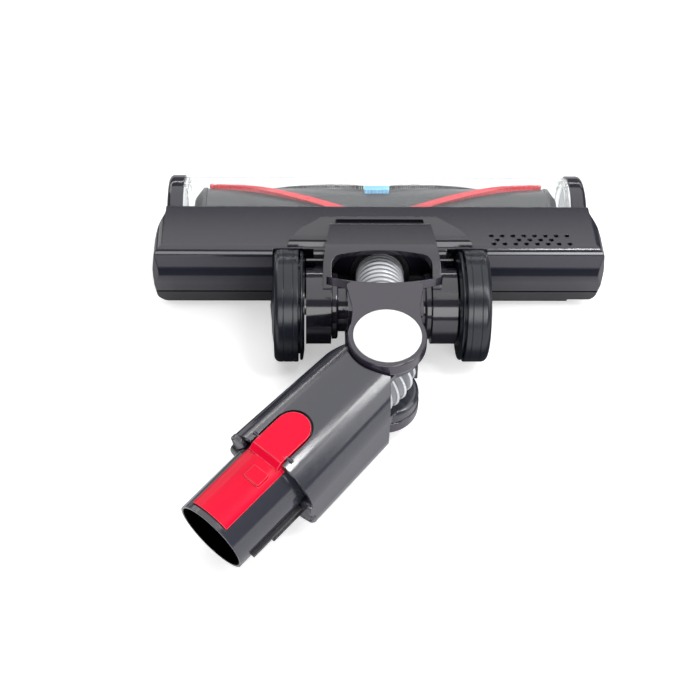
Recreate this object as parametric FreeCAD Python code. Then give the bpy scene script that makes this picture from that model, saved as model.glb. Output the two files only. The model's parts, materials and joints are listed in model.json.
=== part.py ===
import FreeCAD, Part
import math
import os

# Powered floor head for a stick vacuum cleaner, in millimetres.
# While it is modelled, the wheel axle runs along X through (0, 0, WHEEL_R), the brush is
# towards +Y, the floor is Z = 0. Every solid is moved by ORIGIN_SHIFT when it is written,
# so that the frame's origin is on the floor below the middle of the whole object.

os.makedirs("parts", exist_ok=True)
V = FreeCAD.Vector
X_AXIS = V(1, 0, 0)
Y_AXIS = V(0, 1, 0)
Z_AXIS = V(0, 0, 1)

# Clearances
SEAT = 0.15            # between two pieces of one body, face to face or round a spigot
PIN_FIT = 0.06         # radial, between a pin and the bore it turns in
RUN = 0.4              # between faces that pass each other

# Floor head
BRUSH_HALF = 104.0     # half length of the brush, which sets the width of the head
EAR_GAP = 6.0          # from the brush's end to the inner face of the ear
EAR_T = 9.0
BULGE = 5.8            # how far the rear bulges out past the ears
EAR_IN = BRUSH_HALF + EAR_GAP
EAR_OUT = EAR_IN + EAR_T
HEAD_HALF = EAR_OUT + BULGE
TOP_Z = 50.0           # flat top of the shell
SOLE_Z = 3.0           # underside of the sole plate
SEAM_Z = 15.5          # joint between shell and sole plate
SHELL_FRONT = 60.5     # front edge of the shell, above the brush
TOP_REAR = 23.6        # where top and rear wall would meet without their round
BULGE_Y = 20.8         # rear-most corner of the profile, before its round
BULGE_Z = 33.0
SOLE_REAR = 31.5       # rear edge of the sole
SIDE_ROUND = 9.5       # round along the lower edge of each side
REAR_ROUND = 2.5
WALL = 2.6

# Brush and its chamber
BRUSH_Y = 75.0
BRUSH_Z = 24.0
TIP_R = 23.3
CORE_R = 20.2
CORE_WALL = 2.2
CORE_HALF = BRUSH_HALF - 7.0
COVER_R = 26.8         # outside of the clear cover
COVER_WALL = 1.6
EAR_R = 28.0
COVER_BACK = 127.0     # degrees from +Y, where the cover ends below the shell
COVER_FRONT = -40.0
STRIP_PITCH = 430.0    # length of one full turn of the bristle helix
STRIP_INNER = 8.0      # where each half of a bristle strip starts
SLOT_BACK = 57.0       # suction slot in the sole
SLOT_FRONT = 92.0
SOLE_FRONT = 101.0
LIP_Z = 6.6            # top of the sole's front strip

# Wheels
WHEEL_R = 30.5
WHEEL_IN = 41.4
WHEEL_OUT = 60.0       # top of the domed hub cap
RIM_OUT = 57.6         # outer shoulder of the tyre
TYRE_IN_R = 26.0
FLANGE_R = 29.6
WELL_R = WHEEL_R + 1.0
AXLE_R = 5.0
HUB_CAP_R = 10.9
TYRE_START = WHEEL_IN + 3.2
AXLE_END = WHEEL_OUT - 6.2

# Yoke on the shell
BARREL_R = 20.7
ARM_IN = 27.0
ARM_OUT = 31.6
DECK_Z = 60.5
DECK_REAR = 12.0
DECK_FRONT = 36.0
DECK_HALF = 26.4
ARCH_Z = 57.0
ARCH_R = 8.0
ARCH_CROWN = 2.0
PAD_Z = 54.4
PAD_FRONT = 47.6
PAD_HALF = 30.6
PAD_FLARE = 51.0
VALLEY_DEPTH = 2.4     # hollow between the front ridge of the pad and the deck
PIVOT_PIN_R = 12.0
WING_GAP = 2.2         # wider gap round the wheel where the pad's wing ends above it
WING_NOTCH = 49.0

# Neck, in its own frame: pitch axis through the origin, swivel axis upright
SWIVEL_Y = -57.2
CAP_Z = 42.4
RING_TOP = 42.0
RING_R = 20.0
RING_BOTTOM = 33.0
CAP_R = 17.3
CAP_T = 2.8
SPIGOT_R = 14.9
PLATE_HALF = 19.25     # outer face of the two webs below the plate
PLATE_WAIST = 16.8
PLATE_TIP = 19.8       # half width at the flared front corners
PLATE_T = 6.0
PLATE_FRONT = -25.2
PLATE_CURVE = 5.2      # how far the tips stand ahead of the middle of its front edge
WEB_T = 3.4
CHEEK_IN = PLATE_HALF - 1.0
CHEEK_R = 18.0
CHEEK_T = 3.2
CHEEK_HUB_R = 14.0
LOW_TOP = -7.8
LOW_T = 8.2
LOW_R = 18.5
LOW_HALF = 12.0
LOW_PIN_R = 9.0

# Hose
HOSE_R = 13.2
HOSE_ROOT = 11.9
HOSE_BORE = 10.9
HOSE_PITCH = 4.4
HOSE_Z = 15.0          # height of its centre line at the swivel axis, neck frame

# Wand, in its own frame: x out along the tube from the swivel axis, z up. Pieces round
# the swivel axis are made in the swivel frame, where z is that axis.
WAND_LEN = 127.0
WAND_DROP = 9.3        # degrees below the plane square to the swivel axis
TUBE_R = 20.0
TUBE_BORE = 18.6
HOUSING_END = 84.0
HOUSING_WALL = 2.4
LATCH_START = 57.0
LATCH_FOLD = 83.5
LATCH_END = WAND_LEN - 3.2
LATCH_HALF = 9.3
BAY_GAP = 1.2          # between the latch's button and the edge of its bay
STRIP_ANGLE = 33.0     # half the angle that the red strip covers on the tube
CHEVRON = 46.5         # degrees between the tube and each face of the housing's tail
LUG_T = 7.0

TEE_Z = 19.9           # where the tube's axis crosses the swivel axis, neck frame
REST_SWIVEL = 43.5     # turn of the wand to one side, as the object is modelled


def box(x0, x1, y0, y1, z0, z1):
    return Part.makeBox(x1 - x0, y1 - y0, z1 - z0, V(x0, y0, z0))


def rod_x(r, x0, x1, y=0.0, z=0.0):
    return Part.makeCylinder(r, x1 - x0, V(x0, y, z), X_AXIS)


def rod_z(r, z0, z1, x=0.0, y=0.0):
    return Part.makeCylinder(r, z1 - z0, V(x, y, z0), Z_AXIS)


def tube_x(r_out, r_in, x0, x1, y=0.0, z=0.0):
    return rod_x(r_out, x0, x1, y, z).cut(rod_x(r_in, x0 - 1, x1 + 1, y, z))


def in_yz(x):
    return lambda a, b: V(x, a, b)


def in_xy(z):
    return lambda a, b: V(a, b, z)


def in_xz(y):
    return lambda a, b: V(a, y, b)


def rounded(corners, put):
    """Closed wire through corners (a, b, radius), each rounded by an arc."""
    points = [V(a, b, 0) for a, b, r in corners]
    count = len(points)
    ends = []
    for i, (a, b, r) in enumerate(corners):
        here = points[i]
        back = (points[i - 1] - here).normalize()
        ahead = (points[(i + 1) % count] - here).normalize()
        half = back.getAngle(ahead) / 2
        if r <= 0:
            ends.append((here, None, here))
            continue
        reach = r / math.tan(half)
        middle = (back + ahead).normalize() * (r / math.sin(half) - r)
        ends.append((here + back * reach, here + middle, here + ahead * reach))
    edges = []
    for i, (first, middle, last) in enumerate(ends):
        if middle is not None:
            arc = [put(p.x, p.y) for p in (first, middle, last)]
            edges.append(Part.Arc(*arc).toShape())
        following = ends[(i + 1) % count][0]
        if (following - last).Length > 1e-6:
            edges.append(Part.makeLine(put(last.x, last.y), put(following.x, following.y)))
    return Part.Wire(edges)


def prism(corners, put, along):
    return Part.Face(rounded(corners, put)).extrude(along)


def prism_x(corners, x0, x1):
    return prism(corners, in_yz(x0), V(x1 - x0, 0, 0))


def prism_y(corners, y0, y1):
    return prism(corners, in_xz(y0), V(0, y1 - y0, 0))


def prism_z(corners, z0, z1):
    return prism(corners, in_xy(z0), V(0, 0, z1 - z0))


def turned_x(corners, y, z):
    """Solid of revolution about X through (y, z) from corners (x, radius, round)."""
    face = Part.Face(rounded(corners, lambda a, b: V(a, y, z + b)))
    return face.revolve(V(0, y, z), X_AXIS, 360)


def turned_z(corners, y=0.0):
    """Solid of revolution about Z through (0, y) from corners (radius, z, round)."""
    face = Part.Face(rounded(corners, lambda a, b: V(a, y, b)))
    return face.revolve(V(0, y, 0), Z_AXIS, 360)


def mirrored(shape):
    return shape.mirror(V(0, 0, 0), X_AXIS)


def both(shape):
    return [shape, mirrored(shape)]


def round_edges(shape, x):
    """Full circles that lie in the plane at x."""
    flat = [e for e in shape.Edges if len(e.Vertexes) == 1 and e.BoundBox.XLength < 0.01]
    return [e for e in flat if abs(e.CenterOfMass.x - x) < 0.01]


def fuse(shapes):
    return shapes[0].multiFuse(shapes[1:]).removeSplitter()


def cut(shape, tools):
    return shape.cut(tools)


def rotate(shape, centre, axis, angle):
    moved = shape.copy()
    moved.rotate(centre, axis, angle)
    return moved


# Poses: neck frame into the head, wand frame into the neck.
PITCH_CENTRE = V(0, 0, WHEEL_R)


def posed(pitch):
    """Turns of neck and wand, the wand's origin and the way out along its tube."""
    neck = FreeCAD.Rotation(X_AXIS, pitch)
    wand = neck.multiply(FreeCAD.Rotation(Z_AXIS, -REST_SWIVEL - 90))
    out = wand.multiply(FreeCAD.Rotation(Y_AXIS, WAND_DROP)).multVec(X_AXIS)
    origin = neck.multVec(V(0, SWIVEL_Y, TEE_Z)) + PITCH_CENTRE
    return neck, wand, origin, out


def mouth_height(pitch):
    neck, wand, origin, out = posed(pitch)
    return (origin + out * WAND_LEN).z - TUBE_R * math.sqrt(1 - out.z ** 2)


# The neck comes to rest at the pitch that puts the lowest point of the mouth on the floor.
low_pitch = -30.0
high_pitch = 60.0
for step in range(50):
    middle = (low_pitch + high_pitch) / 2
    if mouth_height(middle) > 0:
        low_pitch = middle
    else:
        high_pitch = middle
neck_turn, wand_turn, tee, tube_dir = posed(low_pitch)
swivel_dir = neck_turn.multVec(Z_AXIS)
mouth = tee + tube_dir * WAND_LEN

y_front = BRUSH_Y + EAR_R
y_back = mouth.y - TUBE_R * math.sqrt(1 - tube_dir.y ** 2)
ORIGIN_SHIFT = V(0, -(y_front + y_back) / 2, 0)


def write(name, shape):
    placed = shape.copy()
    placed.translate(ORIGIN_SHIFT)
    placed.exportStep("parts/" + name + ".step")
    print(name, "solids", len(placed.Solids), "volume %.0f" % placed.Volume, "valid", placed.isValid())


def write_group(name, shapes):
    write(name, Part.makeCompound([s.Solids[0] for s in shapes]))


def moved_by(shape, foot, turn):
    return shape.transformed(FreeCAD.Placement(foot, turn).toMatrix())


def write_neck(name, shape):
    write(name, moved_by(shape, PITCH_CENTRE, neck_turn))


def write_wand(name, shape):
    """Shape in the swivel frame: origin where the tube's axis crosses the swivel axis."""
    write(name, moved_by(shape, tee, wand_turn))


def tilt(shape):
    """From the tube's frame into the swivel frame."""
    return rotate(shape, V(0, 0, 0), Y_AXIS, WAND_DROP)


# Outline of the head: a side profile, a plan and a front profile, each run through the body
def head_profile(off, front, low):
    return [
        (front, TOP_Z - off, 1.0),
        (TOP_REAR + off * 0.8, TOP_Z - off, 5.5 - off),
        (BULGE_Y + off, BULGE_Z, 24.0 - off),
        (SOLE_REAR + off * 0.9, low, REAR_ROUND if off == 0 else 0),
        (front, low, 0),
    ]


def head_plan(off):
    rear = BULGE_Y - 4
    half = HEAD_HALF - off
    ear = EAR_OUT - off
    hip = ear + 0.62 * (half - ear)
    return [
        (-ear, SOLE_FRONT, 7),
        (-ear, SHELL_FRONT - 6, 11),
        (-hip, SHELL_FRONT - 16, 16),
        (-half - 0.6, rear + off + 8, 0),
        (-half + 8, rear + off, 0),
        (half - 8, rear + off, 0),
        (half + 0.6, rear + off + 8, 0),
        (hip, SHELL_FRONT - 16, 16),
        (ear, SHELL_FRONT - 6, 11),
        (ear, SOLE_FRONT, 7),
    ]


def head_front(off):
    half = HEAD_HALF + 0.8 - off
    low = half - 1.6
    foot = SOLE_Z + (off if off > 0 else -0.01)
    return [
        (-half + 2.2, TOP_Z + 0.01 - off, 5.0),
        (-half, BULGE_Z, 40.0),
        (-low, foot, SIDE_ROUND),
        (low, foot, SIDE_ROUND),
        (half, BULGE_Z, 40.0),
        (half - 2.2, TOP_Z + 0.01 - off, 5.0),
    ]


def head_body(off, front):
    low = SOLE_Z + off
    side = prism_x(head_profile(off, front, low), -HEAD_HALF - 2, HEAD_HALF + 2)
    plan = prism_z(head_plan(off), 0, TOP_Z + 1)
    ahead = prism_y(head_front(off), 0, SOLE_FRONT + 20)
    return side.common(plan).common(ahead)


brush_chamber_r = COVER_R - COVER_WALL + RUN
cover_rebate_r = COVER_R + SEAT


def wedge_x(a0, a1, r, x0, x1):
    """Sector about the brush axis between two angles from +Y, in degrees."""
    centre = V(x0, BRUSH_Y, BRUSH_Z)
    face = Part.makeCylinder(r, x1 - x0, centre, X_AXIS, a1 - a0)
    return rotate(face, centre, X_AXIS, first_angle + a0)


# A cylinder about X starts its sweep somewhere; this finds the turn that puts it at +Y.
probe = Part.makeCylinder(10, 1, V(0, 0, 0), X_AXIS, 90)
probe_mid = probe.CenterOfMass
first_angle = 45 - math.degrees(math.atan2(probe_mid.z, probe_mid.y))

# Shell: hollow behind the brush chamber, with wells for the wheels
head_outer = head_body(0, SHELL_FRONT)
FAR = 2 * HEAD_HALF      # well past everything in the head
above_seam = box(-FAR, FAR, 0, FAR, SEAM_Z, FAR)
shell = head_outer.common(above_seam)
chamber = rod_x(brush_chamber_r, -EAR_IN - SEAT, EAR_IN + SEAT, BRUSH_Y, BRUSH_Z)
cover_seat = wedge_x(-60, COVER_BACK + 1, cover_rebate_r, -EAR_IN - SEAT, EAR_IN + SEAT)
ear_clear_r = EAR_R + SEAT
ear_hole = rod_x(ear_clear_r, EAR_IN - SEAT, EAR_OUT + 5, BRUSH_Y, BRUSH_Z)
ear_holes = both(ear_hole.common(above_seam))
wall_r = brush_chamber_r + WALL
hollow = head_body(WALL, SHELL_FRONT + 10).common(box(-FAR, FAR, 0, FAR, SEAM_Z - 1, FAR))
hollow = hollow.cut(rod_x(wall_r, -FAR, FAR, BRUSH_Y, BRUSH_Z))
well = both(rod_x(WELL_R, ARM_OUT + 5, RIM_OUT + 1.0, 0, WHEEL_R))
well_skin = both(rod_x(WELL_R + 2, ARM_OUT + 3, RIM_OUT + 3.0, 0, WHEEL_R))
hollow = cut(hollow, well_skin)
shell = cut(shell, [hollow, chamber, cover_seat] + ear_holes + well)

# Vent holes over the circuit board: two full rows and a short one between them
VENT_R = 1.25
VENT_PITCH = 6.0
VENT_X = 62.0
VENT_Y = 35.6
ROW_PITCH = 3.3
VENT_ROWS = [(0.0, range(8)), (0.5, (0, 2, 3, 4, 5)), (0.15, range(8))]
vents = []
for row, (offset, places) in enumerate(VENT_ROWS):
    for i in places:
        x = VENT_X + (offset + i) * VENT_PITCH
        vents.append(rod_z(VENT_R, TOP_Z - 8, TOP_Z + 2, x, VENT_Y - row * ROW_PITCH))
shell = cut(shell, vents)

# Intake duct from the chamber to the hose, and the opening for it in the rear wall
DUCT_R = 16.4
DUCT_TILT = 15.0
DUCT_WALL = 2.0
DUCT_HALF = 31.0
DUCT_LOW = 7.5
DUCT_HIGH = 25.0
DUCT_RUN = 12.0
duct_mouth = V(0, 19.0, 36.0)
duct_dir = rotate(Part.Vertex(0, -1, 0), V(0, 0, 0), X_AXIS, -DUCT_TILT).Point
duct_back_y = duct_mouth.y + DUCT_RUN
duct_back_z = duct_mouth.z - DUCT_RUN * math.tan(math.radians(DUCT_TILT))


def square(half, low, high):
    return [(-half, low), (half, low), (half, high), (-half, high)]


def duct_form(off, front_y, r_neck):
    """Funnel from a flat slot to a round neck; off is the distance in from its outside."""
    half = DUCT_HALF - off
    low = DUCT_LOW + off
    high = DUCT_HIGH - off
    soft = 3.2 - off / 2
    neck_square = square(r_neck, duct_back_z - r_neck, duct_back_z + r_neck)
    front = rounded([(x, z, soft) for x, z in square(half, low, high)], in_xz(front_y))
    back = rounded([(x, z, r_neck - 0.5) for x, z in neck_square], in_xz(duct_back_y))
    return Part.makeLoft([front, back], True, True)


def duct_barrel(r, start, length):
    return Part.makeCylinder(r, length, duct_mouth - duct_dir * start, duct_dir)


duct_outer = duct_form(0, 53, DUCT_R - 0.6).fuse(duct_barrel(DUCT_R, 14, 14))
duct_inner = duct_form(DUCT_WALL, 53.2, DUCT_R - 0.6 - DUCT_WALL)
duct = cut(duct_outer, [duct_inner, duct_barrel(DUCT_R - DUCT_WALL, 12, 13), chamber])
write("intake_duct", duct)
duct_room = duct_form(-SEAT, 53, DUCT_R - 0.6 + SEAT)
shell = cut(shell, [duct_room, duct_barrel(DUCT_R + SEAT, 14, 16)])
write("body_shell", shell)

# Sole plate
WIPER_Y = 54.0
BOARD_Z = SEAM_Z + 2.0
SCREW_X = BRUSH_HALF - 8
SCREW_Y = SOLE_REAR + 8.5
SCREW_PLACES = [(x, SCREW_Y) for x in (-SCREW_X, -46, 46, SCREW_X)]
sole = head_body(0, SOLE_FRONT).common(box(-FAR, FAR, 0, FAR, SOLE_Z - 1, SEAM_Z - SEAT))
sole = cut(sole, [rod_x(brush_chamber_r, -EAR_IN - SEAT, EAR_IN + SEAT, BRUSH_Y, BRUSH_Z)])
slot = prism_z(
    [(x, y, 4) for x, y in square(BRUSH_HALF + 1, SLOT_BACK, SLOT_FRONT)],
    SOLE_Z - 1,
    SEAM_Z + 1,
)
front_cut = box(-EAR_IN + SEAT, EAR_IN - SEAT, WIPER_Y + 8, FAR, LIP_Z, FAR)
cavity_room = box(-EAR_IN - 2, EAR_IN + 2, 0, FAR, SOLE_Z + WALL, SEAM_Z + 1)
cavity = head_body(WALL, 47).common(cavity_room)
cavity = cavity.cut(rod_x(wall_r, -FAR, FAR, BRUSH_Y, BRUSH_Z))
ROLLER_R = 6.0
ROLLER_X = 72.0
ROLLER_Y = 45.0
ROLLER_HALF = 6.0
roller_pit = box(ROLLER_X - 7, ROLLER_X + 7, ROLLER_Y - 7.2, ROLLER_Y + 7.2, SOLE_Z - 1, SEAM_Z + 1)
roller_box = box(ROLLER_X - 10, ROLLER_X + 10, ROLLER_Y - 12, ROLLER_Y + 9, SOLE_Z + WALL, SEAM_Z)
cavity = cut(cavity, both(roller_box))
ROLLER_PIN_R = 1.5
roller_pin_cut = rod_x(ROLLER_PIN_R + PIN_FIT, ROLLER_X - 9, ROLLER_X + 9, ROLLER_Y, ROLLER_R)
WIPER_T = 2.0
WIPER_IN = 5.0         # how far the wiper strip stands in the sole
wiper = box(-BRUSH_HALF, BRUSH_HALF, WIPER_Y, WIPER_Y + WIPER_T, 0.6, SOLE_Z + WIPER_IN)
wiper_slot = box(
    -BRUSH_HALF - SEAT,
    BRUSH_HALF + SEAT,
    WIPER_Y - SEAT,
    WIPER_Y + WIPER_T + SEAT,
    SOLE_Z - 1,
    SOLE_Z + WIPER_IN + SEAT,
)
screw_holes = []
for x, y in SCREW_PLACES:
    screw_holes.append(rod_z(2.6 + SEAT, SOLE_Z - 1, SOLE_Z + 2.0, x, y))
    screw_holes.append(rod_z(1.3 + PIN_FIT, SOLE_Z, SEAM_Z + 1, x, y))
LOCK_R = 10.0
lock_seat = rod_x(LOCK_R + RUN, EAR_OUT - 3.6, EAR_OUT + 1, BRUSH_Y, BRUSH_Z)
side_recess = box(EAR_IN - 1, HEAD_HALF, SOLE_REAR - 2, SOLE_REAR + 2.4, SOLE_Z - 1, SOLE_Z + 3)
sole = cut(sole, [slot, front_cut, cavity, duct_room, wiper_slot, lock_seat, side_recess])
sole = cut(sole, both(roller_pit) + both(roller_pin_cut) + well)
BOARD_X0 = VENT_X - 1
BOARD_X1 = VENT_X + 8 * VENT_PITCH - 2
BOARD_Y = 39.0
posts = [rod_z(2.4, SOLE_Z + 1, BOARD_Z, x, BOARD_Y) for x in (ROLLER_X + 12, BOARD_X1 - 4)]
bosses = [rod_z(4.0, SOLE_Z + 1, SEAM_Z - SEAT, x, y) for x, y in SCREW_PLACES]
sole = fuse([sole] + posts + bosses).cut(screw_holes)
write("sole_plate", sole)


# Ears that close the brush chamber, with a boss for the brush on the inside
BOSS_R = 9.0
LOCK_PIN_R = 5.0
ear = rod_x(EAR_R, EAR_IN, EAR_OUT, BRUSH_Y, BRUSH_Z)
ear = ear.makeFillet(3.0, round_edges(ear, EAR_OUT))
boss = rod_x(BOSS_R, BRUSH_HALF + 0.6, EAR_IN + 0.5, BRUSH_Y, BRUSH_Z)
ear = fuse([ear, boss]).common(box(0, FAR, 0, FAR, SEAM_Z + SEAT, FAR))
PLUG_PIN_R = 4.0
lock_bore = rod_x(LOCK_PIN_R + PIN_FIT, BRUSH_HALF, EAR_OUT, BRUSH_Y, BRUSH_Z)
right_ear = cut(ear, [lock_seat, lock_bore])
write("right_end_cap", right_ear)
write("left_end_cap", mirrored(ear))
lock = rod_x(LOCK_R, EAR_OUT - 3.3, EAR_OUT + 0.3, BRUSH_Y, BRUSH_Z)
lock = fuse([lock, rod_x(LOCK_PIN_R, BRUSH_HALF + 2, EAR_OUT - 3, BRUSH_Y, BRUSH_Z)])
lock = lock.cut(rod_x(PLUG_PIN_R + PIN_FIT, BRUSH_HALF + 1, BRUSH_HALF + 5.5, BRUSH_Y, BRUSH_Z))
coin_slot = box(EAR_OUT - 1.4, EAR_OUT + 1, BRUSH_Y - 7, BRUSH_Y + 7, BRUSH_Z - 1.1, BRUSH_Z + 1.1)
write("brush_lock", lock.cut(coin_slot))

# Clear cover over the brush
cover_in = COVER_R - COVER_WALL
cover_half = EAR_IN - SEAT
cover = wedge_x(COVER_FRONT, COVER_BACK, COVER_R, -cover_half, cover_half)
cover = cover.cut(rod_x(cover_in, -FAR, FAR, BRUSH_Y, BRUSH_Z))
flange = wedge_x(COVER_FRONT + 4, COVER_BACK, cover_in + 0.3, cover_half - 2.2, cover_half)
flange = flange.cut(rod_x(TIP_R - 1.5, 0, FAR, BRUSH_Y, BRUSH_Z))
write("clear_cover", fuse([cover] + both(flange)))

# Yoke: a pad on the shell, a raised deck with the arch below it, arms and barrels
pad = prism_z(
    [
        (-PAD_HALF, PAD_FRONT, 5),
        (PAD_HALF, PAD_FRONT, 5),
        (PAD_FLARE - 6, PAD_FRONT - 11.5, 12),
        (PAD_FLARE, TOP_REAR + 3, 1),
        (PAD_FLARE - 4, TOP_REAR - 3, 0),
        (-PAD_FLARE + 4, TOP_REAR - 3, 0),
        (-PAD_FLARE, TOP_REAR + 3, 1),
        (-PAD_FLARE + 6, PAD_FRONT - 11.5, 12),
    ],
    TOP_Z - 12,
    PAD_Z,
)
pad_side = prism_x(
    [
        (PAD_FRONT + 3, TOP_Z - 12, 0),
        (PAD_FRONT + 3, TOP_Z, 0),
        (PAD_FRONT - 1.2, PAD_Z, 1.0),
        (TOP_REAR + 5.5, PAD_Z - 0.6, 5),
        (TOP_REAR - 1.6, TOP_Z - 6.5, 0),
        (TOP_REAR - 1.6, TOP_Z - 12, 0),
    ],
    -PAD_FLARE - 5,
    PAD_FLARE + 5,
)
pad = pad.common(pad_side)
valley = prism_z(
    [(x, y, 1) for x, y in square(DECK_HALF - 2, DECK_FRONT + 4, PAD_FRONT - 3.4)],
    PAD_Z - VALLEY_DEPTH,
    PAD_Z + 1,
)
deck_side = prism_x(
    [
        (DECK_FRONT + 6.4, TOP_Z - 1, 0),
        (DECK_FRONT + 5.6, PAD_Z - VALLEY_DEPTH, 0),
        (DECK_FRONT - 2, DECK_Z - 0.3, 3),
        (DECK_REAR - 1.5, DECK_Z, 22),
        (-8.5, WHEEL_R + 19.0, 8),
        (-16, WHEEL_R + 2, 0),
        (-4, WHEEL_R - 18, 0),
        (23, WHEEL_R - 18, 0),
        (23, TOP_Z - 6, 0),
    ],
    -60,
    60,
)
deck_plan = prism_z(
    [
        (-DECK_HALF, DECK_FRONT + 6.4, 9),
        (DECK_HALF, DECK_FRONT + 6.4, 9),
        (ARM_OUT, 4, 60),
        (ARM_OUT, -20, 0),
        (-ARM_OUT, -20, 0),
        (-ARM_OUT, 4, 60),
    ],
    0,
    DECK_Z + 1,
)
arch = prism_y(
    [(-ARM_IN, ARCH_Z, ARCH_R), (ARM_IN, ARCH_Z, ARCH_R), (ARM_IN, -5, 0), (-ARM_IN, -5, 0)],
    -40,
    31,
)
arch_back = prism_z(
    [
        (-ARM_IN, -40, 0),
        (ARM_IN, -40, 0),
        (ARM_IN, DECK_REAR - 3, 6),
        (0, DECK_REAR + ARCH_CROWN, 90),
        (-ARM_IN, DECK_REAR - 3, 6),
    ],
    0,
    DECK_Z + 5,
)
deck = deck_side.common(deck_plan)
barrel = rod_x(BARREL_R, ARM_IN, WHEEL_IN - RUN - 0.4, 0, WHEEL_R)
bridge = prism_x([(-2, 15, 0), (24, 13, 0), (24, 40, 0), (-2, 40, 0)], ARM_IN, ARM_OUT + 4)
yoke = fuse([pad.cut(valley), deck] + both(barrel) + both(bridge))
shell_skin = head_body(-SEAT, SHELL_FRONT + 5)
pivot_bore = both(rod_x(PIVOT_PIN_R + PIN_FIT, ARM_IN - 1, ARM_IN + 8, 0, WHEEL_R))
axle_bore = both(rod_x(AXLE_R, ARM_IN + 7, WHEEL_IN, 0, WHEEL_R))
well_back = both(rod_x(WELL_R, WHEEL_IN - RUN - 0.4, WHEEL_OUT + 3.5, 0, WHEEL_R))
well_back += both(rod_x(WHEEL_R + WING_GAP, WHEEL_IN - RUN - 0.4, WING_NOTCH, 0, WHEEL_R))
yoke = cut(yoke, [arch, arch_back, head_outer] + pivot_bore + axle_bore + well_back)
write("yoke", yoke)

# Wheels, with their tyres, caps and axles
hub = turned_x(
    [
        (WHEEL_IN, AXLE_R + PIN_FIT, 0),
        (WHEEL_IN, 24, 1),
        (WHEEL_IN + 0.8, FLANGE_R, 1.2),
        (WHEEL_IN + 2.4, FLANGE_R, 0.7),
        (WHEEL_IN + 2.4, TYRE_IN_R, 0),
        (RIM_OUT - 0.3, TYRE_IN_R, 1),
        (WHEEL_OUT - 0.9, HUB_CAP_R + 3, 12),
        (WHEEL_OUT - 1.3, HUB_CAP_R + 0.1, 0),
        (AXLE_END, HUB_CAP_R + 0.1, 0),
        (AXLE_END, AXLE_R + PIN_FIT, 0),
    ],
    0,
    WHEEL_R,
)
tyre = turned_x(
    [
        (TYRE_START, TYRE_IN_R + 0.1, 0),
        (TYRE_START, WHEEL_R, 0.6),
        (RIM_OUT, WHEEL_R, 3.2),
        (RIM_OUT + 0.2, TYRE_IN_R + 0.1, 0.8),
    ],
    0,
    WHEEL_R,
)
TREAD_LINES = 2
TREAD_DEPTH = 0.3
TREAD_PITCH = (RIM_OUT - TYRE_START) / (TREAD_LINES + 0.6)
for i in range(TREAD_LINES):
    x = TYRE_START + (i + 0.55) * TREAD_PITCH
    tyre = tyre.cut(tube_x(WHEEL_R + 1, WHEEL_R - TREAD_DEPTH, x, x + 0.4, 0, WHEEL_R))
hub_cap = turned_x(
    [
        (WHEEL_OUT - 3.6, 0, 0),
        (WHEEL_OUT - 3.6, HUB_CAP_R, 0),
        (WHEEL_OUT - 1.0, HUB_CAP_R, 0.8),
        (WHEEL_OUT, 0, 0),
    ],
    0,
    WHEEL_R,
)
axle_head = AXLE_END + RUN
axle_washer = rod_x(8, axle_head, axle_head + 2, 0, WHEEL_R)
axle = fuse([rod_x(AXLE_R, ARM_IN + 8, axle_head, 0, WHEEL_R), axle_washer])
for side, place in (("right", lambda shape: shape), ("left", mirrored)):
    write(side + "_wheel", place(hub))
    write(side + "_tyre", place(tyre))
    write(side + "_hub_cap", place(hub_cap))
    write(side + "_axle", place(axle))

# Small rollers under the sole
roller_ends = (ROLLER_X - ROLLER_HALF, ROLLER_X + ROLLER_HALF)
roller = rod_x(ROLLER_R, *roller_ends, ROLLER_Y, ROLLER_R)
roller = roller.makeFillet(1.0, round_edges(roller, roller_ends[0]) + round_edges(roller, roller_ends[1]))
roller = roller.cut(rod_x(ROLLER_PIN_R + PIN_FIT, *roller_ends, ROLLER_Y, ROLLER_R))
write("right_sole_roller", roller)
write("left_sole_roller", mirrored(roller))
roller_pin = rod_x(ROLLER_PIN_R, ROLLER_X - 9, ROLLER_X + 9, ROLLER_Y, ROLLER_R)
write_group("roller_pins", both(roller_pin))

# Brush: core, bristle strips, and the motor inside it
core = tube_x(CORE_R, CORE_R - CORE_WALL, -CORE_HALF, CORE_HALF, BRUSH_Y, BRUSH_Z)
write("brush_core", core)
core_bore = CORE_R - CORE_WALL


def strip_section(x, angle, half, r_in, r_out):
    def at(r, turn):
        a = math.radians(angle + turn)
        return V(x, BRUSH_Y + r * math.cos(a), BRUSH_Z + r * math.sin(a))

    inner = Part.Arc(at(r_in, -half), at(r_in, 0), at(r_in, half)).toShape()
    outer = Part.Arc(at(r_out, half), at(r_out, 0), at(r_out, -half)).toShape()
    there = Part.makeLine(at(r_in, half), at(r_out, half))
    home = Part.makeLine(at(r_out, -half), at(r_in, -half))
    return Part.Wire([inner, there, outer, home])


def bristle_strip(start, angle, half, side):
    wires = []
    steps = 8
    end = CORE_HALF - 2
    for i in range(steps + 1):
        x = start + (end - start) * i / steps
        turn = angle - 360 * x / STRIP_PITCH
        wires.append(strip_section(side * x, turn, half, CORE_R + 0.1, TIP_R))
    return Part.makeLoft(wires, True, False)


RED_ANGLE = 128.0
CARBON_ANGLE = 74.0
RED_SPREAD = 4.0
CARBON_SPREAD = 1.5
TUFT_ANGLES = (70, 80)
TUFT_HALF = 7.0
red = []
carbon = []
for turn in (0, 180):
    for side in (1, -1):
        red.append(bristle_strip(STRIP_INNER, RED_ANGLE + turn, RED_SPREAD, side))
        carbon.append(bristle_strip(STRIP_INNER, CARBON_ANGLE + turn, CARBON_SPREAD, side))
write_group("red_bristles", red)
write_group("carbon_bristles", carbon)
tuft = wedge_x(*TUFT_ANGLES, TIP_R, -TUFT_HALF, TUFT_HALF)
write("blue_bristles", tuft.cut(rod_x(CORE_R + 0.1, -FAR, FAR, BRUSH_Y, BRUSH_Z)))

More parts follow.
